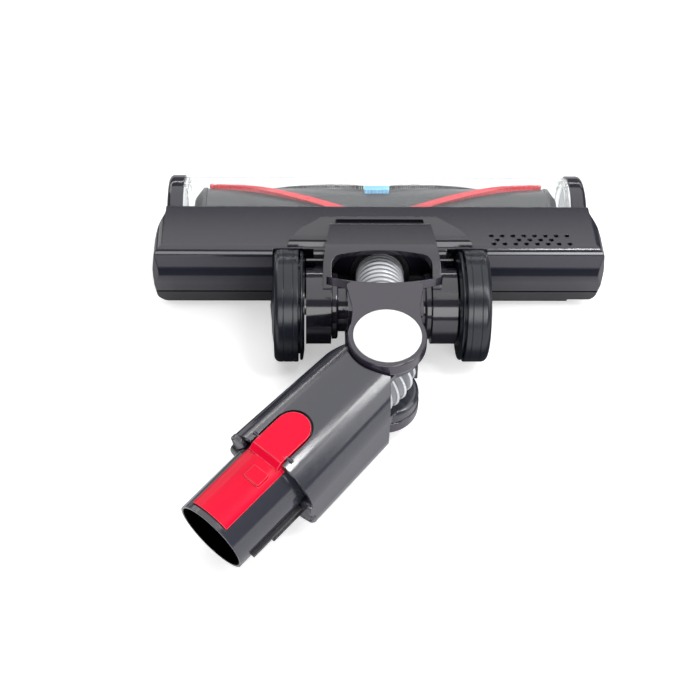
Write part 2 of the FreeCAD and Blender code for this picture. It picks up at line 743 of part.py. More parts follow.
MOTOR_R = 13.6
SHAFT_R = 2.5
MOTOR_END = -24.0
motor = rod_x(MOTOR_R, -BRUSH_HALF - 0.6 + SEAT, MOTOR_END, BRUSH_Y, BRUSH_Z)
write("brush_motor", motor.makeFillet(1.0, round_edges(motor, MOTOR_END)))
shaft = rod_x(SHAFT_R, MOTOR_END + RUN, MOTOR_END + 14, BRUSH_Y, BRUSH_Z)
write("motor_shaft", shaft)
drive_hub = tube_x(core_bore - 0.05, SHAFT_R, MOTOR_END + 5, MOTOR_END + 13, BRUSH_Y, BRUSH_Z)
write("drive_hub", drive_hub)
core_end = [(CORE_HALF - 6, core_bore - 0.05, 0), (CORE_HALF + 0.1, core_bore - 0.05, 0)]
core_end += [(CORE_HALF + 0.1, CORE_R + 0.4, 0.6), (CORE_HALF + 2.4, CORE_R + 0.4, 0.8)]
core_end += [(BRUSH_HALF, CORE_R - 5.5, 1)]
bearing_bore = [(BRUSH_HALF, MOTOR_R + PIN_FIT, 0), (CORE_HALF - 6, MOTOR_R + PIN_FIT, 0)]
bearing = turned_x(core_end + bearing_bore, BRUSH_Y, BRUSH_Z)
write("core_bearing", mirrored(bearing))
plug = turned_x(core_end + [(BRUSH_HALF, 0, 0), (CORE_HALF - 6, 0, 0)], BRUSH_Y, BRUSH_Z)
plug = fuse([plug, rod_x(PLUG_PIN_R, BRUSH_HALF - 1, BRUSH_HALF + 5, BRUSH_Y, BRUSH_Z)])
write("core_end_plug", plug)

# Neck: a fork that turns on the barrels and carries the wand between ring and lower disc
tip = PLATE_TIP + 0.6
plate = prism_z(
    [
        (-RING_R + 1, SWIVEL_Y, 0),
        (RING_R - 1, SWIVEL_Y, 0),
        (PLATE_WAIST, SWIVEL_Y + 17, 26),
        (tip, PLATE_FRONT + PLATE_CURVE, 2.5),
        (0, PLATE_FRONT - 0.6, 110),
        (-tip, PLATE_FRONT + PLATE_CURVE, 2.5),
        (-PLATE_WAIST, SWIVEL_Y + 17, 26),
    ],
    RING_TOP - PLATE_T,
    RING_TOP,
)
web = prism_x(
    [
        (0, 16, 0),
        (-6.9, 17.7, 0),
        (-19.8, 26.4, 3),
        (PLATE_FRONT + 2.0, RING_TOP - 1, 1),
        (-40, RING_TOP - 1, 0),
        (-39, RING_TOP - PLATE_T, 0),
        (-34.2, 30, 6),
        (-34.2, -4, 4),
        (-38, LOW_TOP - LOW_T, 0),
        (4, LOW_TOP - LOW_T, 3),
        (10, 0, 0),
    ],
    PLATE_HALF - WEB_T,
    PLATE_HALF,
)
cheek = rod_x(CHEEK_R, ARM_IN - RUN - CHEEK_T, ARM_IN - RUN)
cheek = cheek.makeFillet(1.2, round_edges(cheek, ARM_IN - RUN - CHEEK_T))
cheek = fuse([cheek, rod_x(CHEEK_HUB_R, CHEEK_IN, ARM_IN - RUN)])
pivot_pin = rod_x(PIVOT_PIN_R, ARM_IN - 1, ARM_IN + 7.2)
low_arm = prism_z(
    [
        (-LOW_HALF, SWIVEL_Y, 0),
        (LOW_HALF, SWIVEL_Y, 0),
        (LOW_HALF, -45, 8),
        (PLATE_HALF, -34, 4),
        (PLATE_HALF, 2, 0),
        (-PLATE_HALF, 2, 0),
        (-PLATE_HALF, -34, 4),
        (-LOW_HALF, -45, 8),
    ],
    LOW_TOP - LOW_T,
    LOW_TOP,
)
low_disc = turned_z(
    [(0, LOW_TOP - LOW_T, 0), (LOW_R, LOW_TOP - LOW_T, 2.2), (LOW_R, LOW_TOP, 0.5), (0, LOW_TOP, 0)],
    SWIVEL_Y,
)
ring = turned_z(
    [
        (10, RING_BOTTOM, 0),
        (RING_R, RING_BOTTOM, 3),
        (RING_R, RING_TOP, 0.8),
        (10, RING_TOP, 0),
    ],
    SWIVEL_Y,
)
neck = fuse([plate, ring, low_arm, low_disc] + both(web) + both(cheek) + both(pivot_pin))
spigot_bore = rod_z(SPIGOT_R + PIN_FIT, 20, 60, 0, SWIVEL_Y)
cap_seat = rod_z(CAP_R + SEAT, CAP_Z - CAP_T, 60, 0, SWIVEL_Y)
low_bore = rod_z(LOW_PIN_R + PIN_FIT, -30, 0, 0, SWIVEL_Y)
pin_bores = both(rod_x(8.5, ARM_IN - 8, ARM_IN + 12))
neck = cut(neck, [spigot_bore, cap_seat, low_bore] + pin_bores)
write_neck("neck_frame", neck)
cap = turned_z(
    [(0, CAP_Z - CAP_T, 0), (CAP_R, CAP_Z - CAP_T, 0), (CAP_R, CAP_Z, 0.6), (0, CAP_Z, 0)],
    SWIVEL_Y,
)
write_neck("swivel_cap", cap)

# Wand housing: a tapering shell with a pointed tail below the ring
def housing_section(x, top, high, low, deep, high_r, low_r):
    corners = [(-high, top, high_r), (high, top, high_r), (low, -deep, low_r), (-low, -deep, low_r)]
    return rounded(corners, in_yz(x))


TAIL_X = -6.0
TAIL_TOP = 20.3
TAIL_HIGH = 21.5
TAIL_LOW = 26.4
TAIL_DEEP = 24.8
END_TOP = 23.6
END_HIGH = 26.4
END_LOW = 28.6
END_DEEP = 25.2
TAIL_UPPER_R = 19.5
TAIL_LOWER_R = 12.0
END_UPPER_R = 22.0
END_LOWER_R = 15.0
LOBE_REACH = 2.4       # how far the round ends of the side walls stand out of the mouth
LOBE_R = 5.0
LOBE_OUT = TUBE_R + 4.2
LOBE_Z = -3.5


def housing_form(off):
    """Straight taper from the tail section to past the mouth end, set in by off."""
    grow = (HOUSING_END + LOBE_REACH - TAIL_X) / (HOUSING_END - TAIL_X)
    first = (TAIL_TOP, TAIL_HIGH, TAIL_LOW, TAIL_DEEP)
    last = (END_TOP, END_HIGH, END_LOW, END_DEEP)
    tail_sizes = [a - off for a in first]
    end_sizes = [a + (b - a) * grow - off for a, b in zip(first, last)]
    tail = housing_section(TAIL_X, *tail_sizes, TAIL_UPPER_R - off, TAIL_LOWER_R - off)
    end = housing_section(HOUSING_END + LOBE_REACH, *end_sizes, END_UPPER_R - off, END_LOWER_R - off)
    return Part.makeLoft([tail, end], True, True)


COLLAR = 6.0
COLLAR_X = 68.0
TUBE_BACK = 48.0
CUFF_LEN = 8.0
housing_full = housing_form(0)
housing_void = housing_form(HOUSING_WALL)
ROOM = 2 * TUBE_R        # well past the housing on every side
rear_void = housing_void.common(box(TAIL_X - 1, COLLAR_X, -ROOM, ROOM, -ROOM, ROOM))
front_void = housing_void.common(box(COLLAR_X + COLLAR, HOUSING_END + 20, -ROOM, ROOM, -ROOM, ROOM))
tube_hole = rod_x(TUBE_R + SEAT, TUBE_BACK - CUFF_LEN - 1, HOUSING_END + 20)
# The mouth end is square, with a solid round lobe inside each side wall
end_trim = box(HOUSING_END, HOUSING_END + ROOM, -ROOM, ROOM, -ROOM, ROOM)
lobe = rod_x(LOBE_R, COLLAR_X, HOUSING_END + LOBE_REACH, LOBE_OUT, LOBE_Z)
lobe = lobe.makeFillet(2.2, round_edges(lobe, HOUSING_END + LOBE_REACH)).common(housing_full)
button_bay = prism_z(
    [
        (LATCH_START - BAY_GAP, -LATCH_HALF - BAY_GAP, LATCH_HALF + BAY_GAP - 0.1),
        (LATCH_START - BAY_GAP, LATCH_HALF + BAY_GAP, LATCH_HALF + BAY_GAP - 0.1),
        (HOUSING_END + 20, LATCH_HALF + BAY_GAP, 0),
        (HOUSING_END + 20, -LATCH_HALF - BAY_GAP, 0),
    ],
    TUBE_R - 4,
    ROOM,
)
# Lugs inside the mouth end hold the pin on which the latch rocks
PIVOT_X = LATCH_FOLD - 4.0
PIVOT_Z = TUBE_R + 1.9
PIVOT_R = 1.0
PIVOT_HALF = LATCH_HALF + BAY_GAP + 2.3
lug = box(PIVOT_X - 3, PIVOT_X + 3, LATCH_HALF + BAY_GAP, PIVOT_HALF + 0.4, TUBE_R - 5, TUBE_R + 10)
lug = lug.common(housing_full)
latch_pin = Part.makeCylinder(PIVOT_R, 2 * PIVOT_HALF, V(PIVOT_X, -PIVOT_HALF, PIVOT_Z), Y_AXIS)
housing = cut(housing_full, [rear_void, front_void, end_trim, button_bay])
lobes = [lobe, lobe.mirror(V(0, 0, 0), Y_AXIS)]
housing = fuse([housing, lug, lug.mirror(V(0, 0, 0), Y_AXIS)] + lobes).cut([tube_hole, latch_pin])
housing = tilt(housing)
chevron = math.tan(math.radians(90 - CHEVRON))
TAIL_POINT = -1.7
reach = WAND_LEN
keep = prism_z(
    [
        (TAIL_POINT, 0, 0),
        (reach, -(reach - TAIL_POINT) * chevron, 0),
        (reach, (reach - TAIL_POINT) * chevron, 0),
    ],
    -60,
    60,
)
housing = housing.common(keep)
tongue_low = RING_BOTTOM - RUN - 3.2 - TEE_Z
tongue_top = RING_BOTTOM - RUN - TEE_Z
lug_low = LOW_TOP + RUN - TEE_Z
tongue_disc = rod_z(RING_R - 2.5, tongue_low, tongue_top)
tongue_root = prism_z([(0, -14, 0), (26, -16, 0), (26, 16, 0), (0, 14, 0)], tongue_low, tongue_top)
tongue = tongue_disc.fuse(tongue_root.common(tilt(housing_full)))
spigot = rod_z(SPIGOT_R, tongue_top - 1, CAP_Z - CAP_T - RUN - TEE_Z)
lug_top = lug_low + LUG_T
lug_r = LOW_R - 0.3
lug_disc = turned_z([(0, lug_low, 0), (lug_r, lug_low, 0.5), (lug_r, lug_top, 2.6), (0, lug_top, 0)])
lug_root = prism_z([(0, -15, 0), (30, -15, 0), (30, 15, 0), (0, 15, 0)], lug_low, lug_top)
lug_root = lug_root.common(tilt(housing_full))
lug_pin = rod_z(LOW_PIN_R, lug_low - LOW_T + 0.6, lug_low + 1)
ring_recess = rod_z(RING_R + 0.9, tongue_top, ROOM)
low_recess = rod_z(LOW_R + 0.8, -60, lug_low)
housing = cut(housing, [ring_recess, low_recess])
housing = fuse([housing, tongue, lug_disc, lug_root])
housing = fuse([housing, spigot, lug_pin])
spigot_hollow = rod_z(SPIGOT_R - 2.5, tongue_low + 2, 60)
housing = housing.cut(spigot_hollow)
write_wand("wand_housing", housing)

# Male tube that plugs into the wand, with the red latch lying on it
LATCH_BED = TUBE_R - 0.45
wand_tube = tube_x(TUBE_R, TUBE_BORE, TUBE_BACK, WAND_LEN)


def sector_x(r_in, r_out, half, x0, x1, middle=0.0):
    """Piece of a tube about X, centred on an angle from +Z towards +Y."""
    ring_part = Part.makeCylinder(r_out, x1 - x0, V(x0, 0, 0), X_AXIS, 2 * half)
    ring_part = ring_part.cut(rod_x(r_in, x0 - 1, x1 + 1))
    return rotate(ring_part, V(0, 0, 0), X_AXIS, first_angle + 90 - half - middle)


bed = sector_x(LATCH_BED, TUBE_R + 2, STRIP_ANGLE + 1.2, LATCH_FOLD - 1.2, LATCH_END + 0.5)
wand_tube = wand_tube.cut(bed)
write_wand("wand_tube", tilt(wand_tube))
write_wand("latch_pin", tilt(latch_pin))

button_form = prism_z(
    [
        (LATCH_START, -LATCH_HALF, LATCH_HALF - 0.1),
        (LATCH_START, LATCH_HALF, LATCH_HALF - 0.1),
        (LATCH_FOLD, LATCH_HALF, 0),
        (LATCH_FOLD, -LATCH_HALF, 0),
    ],
    TUBE_R - 4,
    ROOM,
)
TOOTH_X = 91.5
button_top = housing_form(0.1)
button = button_form.common(button_top).cut(rod_x(TUBE_R + 2.0, 0, WAND_LEN))
fold = prism_y(
    [
        (LATCH_FOLD - 3, TUBE_R + 2.1, 0),
        (LATCH_FOLD - 3, END_TOP - 0.3, 0),
        (LATCH_FOLD + 0.6, END_TOP - 0.8, 2),
        (LATCH_FOLD + 3.2, TUBE_R + 0.8, 0),
        (LATCH_FOLD + 3.2, TUBE_R - 2.5, 0),
        (LATCH_FOLD - 0.6, TUBE_R - 2.5, 0),
        (LATCH_FOLD - 0.6, TUBE_R + 1.0, 0),
    ],
    -LATCH_HALF,
    LATCH_HALF,
)
fold = fold.cut(rod_x(LATCH_BED + 0.2, 0, WAND_LEN))
strip = sector_x(LATCH_BED + 0.2, TUBE_R + 0.8, STRIP_ANGLE, LATCH_FOLD + 0.5, LATCH_END)
TOOTH_LEN = 7.5
tooth_square = ((TOOTH_X, -1), (TOOTH_X + TOOTH_LEN, -1), (TOOTH_X + TOOTH_LEN, 8.5), (TOOTH_X, 8.5))
tooth_corners = [(x, y, 0.8) for x, y in tooth_square]
tooth = prism_z(tooth_corners, TUBE_R - 5, TUBE_R + 1.5)
tooth = tooth.cut(rod_x(LATCH_BED + 0.3, 0, WAND_LEN))
latch = fuse([button, fold, strip, tooth])
latch_bore = Part.makeCylinder(PIVOT_R + PIN_FIT, 2 * ROOM, V(PIVOT_X, -ROOM, PIVOT_Z), Y_AXIS)
write_wand("release_latch", tilt(latch.cut(latch_bore)))

# Connector ribs on the right of the tube, with two contact strips between them
RIB_HIGH = 101.0
RIB_LOW = 119.0
RIB_HIGH_OUT = TUBE_R + 2.0
RIB_LOW_OUT = TUBE_R + 3.2
RIB_HIGH_END = WAND_LEN - 7
RIB_LOW_END = WAND_LEN - 21
CONTACT_END = WAND_LEN - 26


RIB_FLOOR = TUBE_R + 1.2
rib_start = HOUSING_END + LOBE_REACH + SEAT
rib_middle = (RIB_HIGH + RIB_LOW) / 2


def on_tube(r_in, r_out, half, x_end, angle):
    return tilt(sector_x(r_in, r_out, half, rib_start, x_end, angle))


high_rib = on_tube(TUBE_R, RIB_HIGH_OUT, 4.2, RIB_HIGH_END, RIB_HIGH)
low_rib = on_tube(TUBE_R, RIB_LOW_OUT, 3.4, RIB_LOW_END, RIB_LOW)
rib_floor = on_tube(TUBE_R, RIB_FLOOR, (RIB_LOW - RIB_HIGH) / 2, CONTACT_END + 1, rib_middle)
write_wand("connector_block", fuse([high_rib, low_rib, rib_floor]))
contacts = [on_tube(RIB_FLOOR, RIB_FLOOR + 0.5, 1.6, CONTACT_END, rib_middle + a) for a in (-3, 3)]
write_group("contact_strips", [moved_by(c, tee, wand_turn) for c in contacts])

# Hose: corrugated, from the intake duct through the arch and the fork into the wand tube
swivel_hose = neck_turn.multVec(V(2.0, SWIVEL_Y - 1.6, HOSE_Z - 0.8)) + PITCH_CENTRE
hose_end_x = TUBE_BACK - 2
hose_end = tee + tube_dir * hose_end_x
hose_way_points = [
    duct_mouth - duct_dir * 2,
    V(-0.6, 4, WHEEL_R + 9.7),
    V(-0.2, -24, WHEEL_R + 12.6),
    swivel_hose,
    tee + tube_dir * 28 + V(2.2, -1.0, -1.4),
    hose_end,
]
route = Part.BSplineCurve()
route.interpolate(hose_way_points, InitialTangent=duct_dir, FinalTangent=tube_dir)
hose_length = route.length()
rings = int(round(hose_length / HOSE_PITCH)) * 2


def ring_at(distance, r):
    u = route.parameterAtDistance(distance)
    return Part.Wire([Part.Circle(route.value(u), V(*route.tangent(u)[0]), r).toShape()])


crests = []
for i in range(rings + 1):
    r = HOSE_R if i % 2 else HOSE_ROOT
    crests.append(ring_at(hose_length * i / rings, r))
outer_hose = Part.makeLoft(crests, True, True)
inner_wires = [ring_at(hose_length * i / 12, HOSE_BORE) for i in range(13)]
inner_hose = Part.makeLoft(inner_wires, True, False)
write("flex_hose", outer_hose.cut(inner_hose))
print("hose length %.1f" % hose_length, "rings", rings)

# Cuffs that hold the hose ends in the duct and in the tube
cuff = duct_barrel(DUCT_R - DUCT_WALL - SEAT, 6, 7).cut(duct_barrel(HOSE_R + SEAT, 30, 60))
write("hose_cuff_front", cuff)
rear_cuff = tube_x(TUBE_R, HOSE_R + RUN, TUBE_BACK - CUFF_LEN, TUBE_BACK)
write_wand("hose_cuff_rear", tilt(rear_cuff))

# Circuit board under the vents, on posts of the sole plate, and the wiper strip
board = box(BOARD_X0, BOARD_X1, BOARD_Y - 6, BOARD_Y + 6, BOARD_Z, BOARD_Z + 1.6)
write("circuit_board", board)
write("wiper_strip", wiper)
felt_corners = [(x, y, 2) for x, y in square(ROLLER_X - 32, SOLE_REAR + 5.5, SOLE_REAR + 10.5)]
felt = prism_z(felt_corners, SOLE_Z - 1.6, SOLE_Z)
write("sole_felt", felt)
screws = []
for x, y in SCREW_PLACES:
    head = rod_z(2.6, SOLE_Z + 0.4, SOLE_Z + 2.0, x, y)
    shank = rod_z(1.3, SOLE_Z + 1.9, SEAM_Z - 2, x, y)
    drive = box(x - 0.4, x + 0.4, y - 1.6, y + 1.6, SOLE_Z, SOLE_Z + 1.2)
    cross = box(x - 1.6, x + 1.6, y - 0.4, y + 0.4, SOLE_Z, SOLE_Z + 1.2)
    screws.append(fuse([head, shank]).cut([drive, cross]))
write_group("sole_screws", screws)

print("tee", tee, "mouth", mouth, "tube_dir", tube_dir, "swivel_dir", swivel_dir, "TEE_Z", TEE_Z)
print("shift", ORIGIN_SHIFT)
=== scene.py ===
# %% [markdown]
# # A powered floor head for a stick vacuum
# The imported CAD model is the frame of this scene: every solid has its real size and its
# place. What is added here is what the eye needs beyond the solids: finishes, real
# bristles, a hose that bends smoothly, and the soft light of a product studio.

# %% Load the frame
import json
import math
import random

import bmesh
import bpy
from mathutils import Matrix, Vector


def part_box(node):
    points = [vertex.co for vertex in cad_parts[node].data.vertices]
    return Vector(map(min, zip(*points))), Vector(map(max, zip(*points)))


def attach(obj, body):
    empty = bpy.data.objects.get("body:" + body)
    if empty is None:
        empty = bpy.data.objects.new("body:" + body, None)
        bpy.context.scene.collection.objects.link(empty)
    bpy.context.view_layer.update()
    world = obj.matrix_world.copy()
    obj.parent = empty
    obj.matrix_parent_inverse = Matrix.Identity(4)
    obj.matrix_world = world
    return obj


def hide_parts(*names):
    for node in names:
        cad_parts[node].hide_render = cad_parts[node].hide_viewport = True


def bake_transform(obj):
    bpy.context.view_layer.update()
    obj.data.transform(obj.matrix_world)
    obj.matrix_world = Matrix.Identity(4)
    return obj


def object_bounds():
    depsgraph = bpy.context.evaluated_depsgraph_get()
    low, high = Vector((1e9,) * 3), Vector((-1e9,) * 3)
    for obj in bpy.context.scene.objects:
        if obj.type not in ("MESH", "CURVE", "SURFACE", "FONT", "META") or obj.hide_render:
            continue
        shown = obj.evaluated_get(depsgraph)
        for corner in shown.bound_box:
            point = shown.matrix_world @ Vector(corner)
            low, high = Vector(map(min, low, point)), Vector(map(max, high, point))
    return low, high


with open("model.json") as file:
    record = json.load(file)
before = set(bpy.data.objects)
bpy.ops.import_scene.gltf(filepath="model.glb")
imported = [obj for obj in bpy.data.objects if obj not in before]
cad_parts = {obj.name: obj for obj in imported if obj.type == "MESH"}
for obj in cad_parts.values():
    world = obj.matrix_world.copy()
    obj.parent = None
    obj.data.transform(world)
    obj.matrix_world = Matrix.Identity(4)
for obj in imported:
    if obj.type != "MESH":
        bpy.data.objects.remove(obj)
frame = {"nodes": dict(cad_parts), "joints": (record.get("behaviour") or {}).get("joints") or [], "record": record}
start_box = [list(corner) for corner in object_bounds()]
record = frame["record"]
nodes = frame["nodes"]

# %% [markdown]
# ## Where things are
# Nothing is placed by eye. The brush axis, the wheel axis and the swivel axis are read
# from the joints, and the line of the plug-in tube from its mount. A new piece takes its
# place from these.

# %% Axes of the moving parts
MM = 0.001
joints = {joint["name"]: joint for joint in frame["joints"]}
tube_mount = next(m for m in record["mounts"] if m["name"] == "wand_tube_bore")
BRUSH = Vector(joints["brush_spin"]["pos_m"])
WHEEL = Vector(joints["neck_pitch"]["pos_m"])
TEE = Vector(joints["wand_swivel"]["pos_m"])
SWIVEL = Vector(joints["wand_swivel"]["axis"]).normalized()
MOUTH = Vector(tube_mount["pos_m"])
TUBE = Vector(tube_mount["axis"]).normalized()
print("brush", BRUSH, "wheels", WHEEL, "tee", TEE, "tube", TUBE)

# %% [markdown]
# ## Camera
# The photograph was taken from behind and above with a long lens, about 0.8 m away. The
# position, the three directions of the camera and the focal length come from fitting
# known points of the head to their pixels.

# %% Camera at the photograph's angle
CAMERA_PLACE = Vector((-0.04138, -0.55496, 0.60152))
RIGHT = Vector((0.99954, -0.02081, 0.02203))
UP = Vector((-0.00032, 0.71968, 0.69431))
AHEAD = Vector((0.03030, 0.69400, -0.71934))
FOCAL_PIXELS = 1500
PHOTO_PIXELS = 700
SENSOR_MM = 36.0
scene = bpy.context.scene
camera_data = bpy.data.cameras.new("camera")
camera_data.sensor_width = SENSOR_MM
camera_data.lens = FOCAL_PIXELS / PHOTO_PIXELS * SENSOR_MM
camera = bpy.data.objects.new("camera", camera_data)
turn = Matrix((RIGHT, UP, -AHEAD)).transposed().to_4x4()
camera.matrix_world = Matrix.Translation(CAMERA_PLACE) @ turn
scene.collection.objects.link(camera)
bpy.context.scene.camera = camera
print("camera", camera.matrix_world.translation, "lens", round(camera_data.lens, 2))

# %% [markdown]
# ## Light
# Dark gloss plastic shows what it reflects, so the lamps are placed by reflection. The
# camera looks down at 46 degrees, so a flat top mirrors a point 46 degrees up on the far
# side, and sloped flats mirror the sky above it: one wide softbox covers both and greys
# the tops evenly. A thin strip low on the far side lights what tips a little forward. A
# low panel behind the camera draws the bright line along the rear edges, and a smaller
# one beside it makes the right half brighter. A panel and a strip on the right draw the
# streak along the plug-in housing, and a narrow glint above them its brightest part.
# A weak panel on the left keeps the left flanks from going black.

# %% Soft lights
scene.view_settings.view_transform = "Standard"
AIM = Vector((0, 0, 0.03))
# name, azimuth from +Y towards +X, height above the horizon, distance, size, radiance
LAMPS = (
    ("ceiling", 0, 78, 1.2, (2.2, 1.9), 1.25),
    ("far_strip", 0, 22, 1.6, (2.2, 0.06), 7.0),
    ("rear_panel", 180, 26, 1.5, (1.6, 0.8), 3.2),
    ("rear_right", 158, 28, 1.4, (0.4, 0.5), 4.5),
    ("right_panel", 102, 30, 1.4, (0.75, 1.1), 2.2),
    ("right_strip", 110, 51, 1.2, (0.11, 0.5), 11.0),
    ("glint", 126, 68, 1.15, (0.06, 0.3), 36.0),
    ("left_panel", -40, 24, 1.4, (0.5, 0.7), 1.6),
)


def softbox(name, azimuth, height, distance, size, radiance):
    """A flat lamp that faces the object from an azimuth and a height, in degrees."""
    a = math.radians(azimuth)
    h = math.radians(height)
    way = Vector((math.sin(a) * math.cos(h), math.cos(a) * math.cos(h), math.sin(h)))
    data = bpy.data.lights.new(name, "AREA")
    data.shape = "RECTANGLE"
    data.size, data.size_y = size
    data.energy = radiance * math.pi * size[0] * size[1]
    lamp = bpy.data.objects.new(name, data)
    lamp.location = AIM + way * distance
    lamp.rotation_euler = (-way).to_track_quat("-Z", "Y").to_euler()
    scene.collection.objects.link(lamp)


for row in LAMPS:
    softbox(*row)
print("lamps", [row[0] for row in LAMPS])

# %% [markdown]
# ## Small helpers
# A material is a small program, and a few helpers keep it readable. put adds a node and
# gives each input a plain value or another node's output, and maths and object_place are
# its short forms. new_group makes a shader node group, which is how one effect serves
# many finishes. to_object turns a finished bmesh into an object at the origin, where the
# CAD pieces have theirs.

# %% Helpers for nodes and pieces
NODE_STEP = 180


def put(tree, kind, inputs=None, **settings):
    """Add a node. inputs gives each named or numbered input a value or an output socket."""
    node = tree.nodes.new(kind)
    node.location.x = NODE_STEP * len(tree.nodes)
    for key, value in settings.items():
        setattr(node, key, value)
    for key, value in (inputs or {}).items():
        if isinstance(value, bpy.types.NodeSocket):
            tree.links.new(value, node.inputs[key])
        else:
            node.inputs[key].default_value = value
    return node


def maths(tree, operation, *values):
    """One Math node. Each value is a number or an output socket."""
    return put(tree, "ShaderNodeMath", dict(enumerate(values)), operation=operation).outputs[0]


def object_place(tree):
    """Object coordinates, which are CAD coordinates on every piece."""
    return put(tree, "ShaderNodeTexCoord").outputs["Object"]


def new_group(name, inputs, outputs):
    """A shader node group with (name, kind, default) inputs and (name, kind) outputs."""
    tree = bpy.data.node_groups.new(name, "ShaderNodeTree")
    for label, kind, default in inputs:
        item = tree.interface.new_socket(label, in_out="INPUT", socket_type="NodeSocket" + kind)
        item.default_value = default
    for label, kind in outputs:
        tree.interface.new_socket(label, in_out="OUTPUT", socket_type="NodeSocket" + kind)
    return tree, put(tree, "NodeGroupInput").outputs


def empty_material(name):
    """A material with no nodes, and its tree."""
    paint = bpy.data.materials.new(name)
    paint.use_nodes = True
    paint.node_tree.nodes.clear()
    return paint, paint.node_tree


def to_object(mesh, name, *materials):
    """Turn a bmesh into an object at the origin with its materials."""
    data = bpy.data.meshes.new(name)
    mesh.to_mesh(data)
    mesh.free()
    for material in materials:
        data.materials.append(material)
    piece = bpy.data.objects.new(name, data)
    scene.collection.objects.link(piece)
    return piece


print("helpers ready")

# %% [markdown]
# ## World
# The world could be one colour, but it has three tasks. The camera, and the camera
# through clear plastic, see plain white. Mirror-like surfaces see a dim room, because a
# white one would wash out the black plastic. Matt surfaces get a weak fill in the shadows.

# %% World
world = bpy.data.worlds.new("studio")
scene.world = world
world.use_nodes = True
sky = world.node_tree
sky.nodes.clear()
WHITE = (1, 1, 1, 1)
seen = put(sky, "ShaderNodeBackground", {"Color": WHITE, "Strength": 1.0}).outputs[0]
fill = put(sky, "ShaderNodeBackground", {"Color": WHITE, "Strength": 0.12}).outputs[0]
room = put(sky, "ShaderNodeBackground", {"Color": (0.98, 0.98, 1, 1), "Strength": 0.2}).outputs[0]
path = put(sky, "ShaderNodeLightPath").outputs
straight = maths(sky, "MAXIMUM", path["Is Camera Ray"], path["Is Transmission Ray"])
unseen = put(sky, "ShaderNodeMixShader", {"Fac": path["Is Glossy Ray"], 1: fill, 2: room}).outputs[0]
chosen = put(sky, "ShaderNodeMixShader", {"Fac": straight, 1: unseen, 2: seen}).outputs[0]
put(sky, "ShaderNodeOutputWorld", {"Surface": chosen})
print("world", world.name, len(sky.nodes), "nodes")

# %% [markdown]
# ## Floor
# The studio floor is matt paper, lifted to white for the camera without losing the
# object's shadow. The rear wall of the head mirrors the floor behind it. There the
# photograph shows a light band, a dark one and a light one, so for mirror rays only the
# paper has those bands painted in at their distances behind the wall: a painted reflection
# on the wall, not the paper's own colour. Far from the object the lift grows, because the
# lamps don't reach the paper there and low views would show it grey.

# %% Floor
FLOOR_HALF = 6.0
PAPER = (0.86, 0.86, 0.865, 1)
LIFT_NEAR = 0.45
LIFT_FAR = 1.0
LIFT_THROUGH_COVER = 0.6
FADE_START = 0.6
FADE_END = 1.6
BAND_LENGTH = 0.1
BAND_BLUE = 1.03
# distance behind the wall in metres, tone of the painted reflection band in the mirror
PAINTED_REFLECTION_BANDS = ((0.0, 0.6), (0.019, 0.6), (0.023, 0.1), (0.06, 0.05), (0.085, 0.85), (0.1, 0.85))
wall_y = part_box("body_shell")[0][1]

floor_paint, tree = empty_material("floor_paper")
ray = put(tree, "ShaderNodeLightPath").outputs
spot = object_place(tree)
spot_y = put(tree, "ShaderNodeSeparateXYZ", {0: spot}).outputs["Y"]
behind = maths(tree, "MULTIPLY", maths(tree, "SUBTRACT", wall_y, spot_y), 1 / BAND_LENGTH)
painted_reflection_band = put(tree, "ShaderNodeValToRGB", {"Fac": behind})
painted_reflection_band.color_ramp.interpolation = "EASE"
marks = painted_reflection_band.color_ramp.elements
while len(marks) < len(PAINTED_REFLECTION_BANDS):
    marks.new(0.5)
for mark, (distance, tone) in zip(marks, PAINTED_REFLECTION_BANDS):
    mark.position = distance / BAND_LENGTH
    mark.color = (tone, tone, BAND_BLUE * tone, 1)
# mirror rays see the painted reflection bands instead of the plain paper
paper_and_painted_reflection = put(
    tree,
    "ShaderNodeMix",
    {"Factor": ray["Is Glossy Ray"], "A": PAPER, "B": painted_reflection_band.outputs["Color"]},
    data_type="RGBA",
).outputs["Result"]
far = put(tree, "ShaderNodeVectorMath", {0: spot}, operation="LENGTH").outputs["Value"]
lift = put(
    tree,
    "ShaderNodeMapRange",
    {"Value": far, "From Min": FADE_START, "From Max": FADE_END, "To Min": LIFT_NEAR, "To Max": LIFT_FAR},
    interpolation_type="SMOOTHSTEP",
).outputs[0]
through = maths(tree, "MULTIPLY", ray["Is Transmission Ray"], LIFT_THROUGH_COVER)
strength = maths(tree, "MULTIPLY_ADD", ray["Is Camera Ray"], lift, through)
matt = put(tree, "ShaderNodeBsdfDiffuse", {"Color": paper_and_painted_reflection}).outputs[0]
glow = put(tree, "ShaderNodeEmission", {"Strength": strength}).outputs[0]
both = put(tree, "ShaderNodeAddShader", {0: matt, 1: glow}).outputs[0]
put(tree, "ShaderNodeOutputMaterial", {"Surface": both})

sheet = bmesh.new()
bmesh.ops.create_grid(sheet, x_segments=1, y_segments=1, size=FLOOR_HALF)
floor = to_object(sheet, "floor", floor_paint)
floor.location.z = start_box[0][2]
print("floor at", round(floor.location.z, 5))
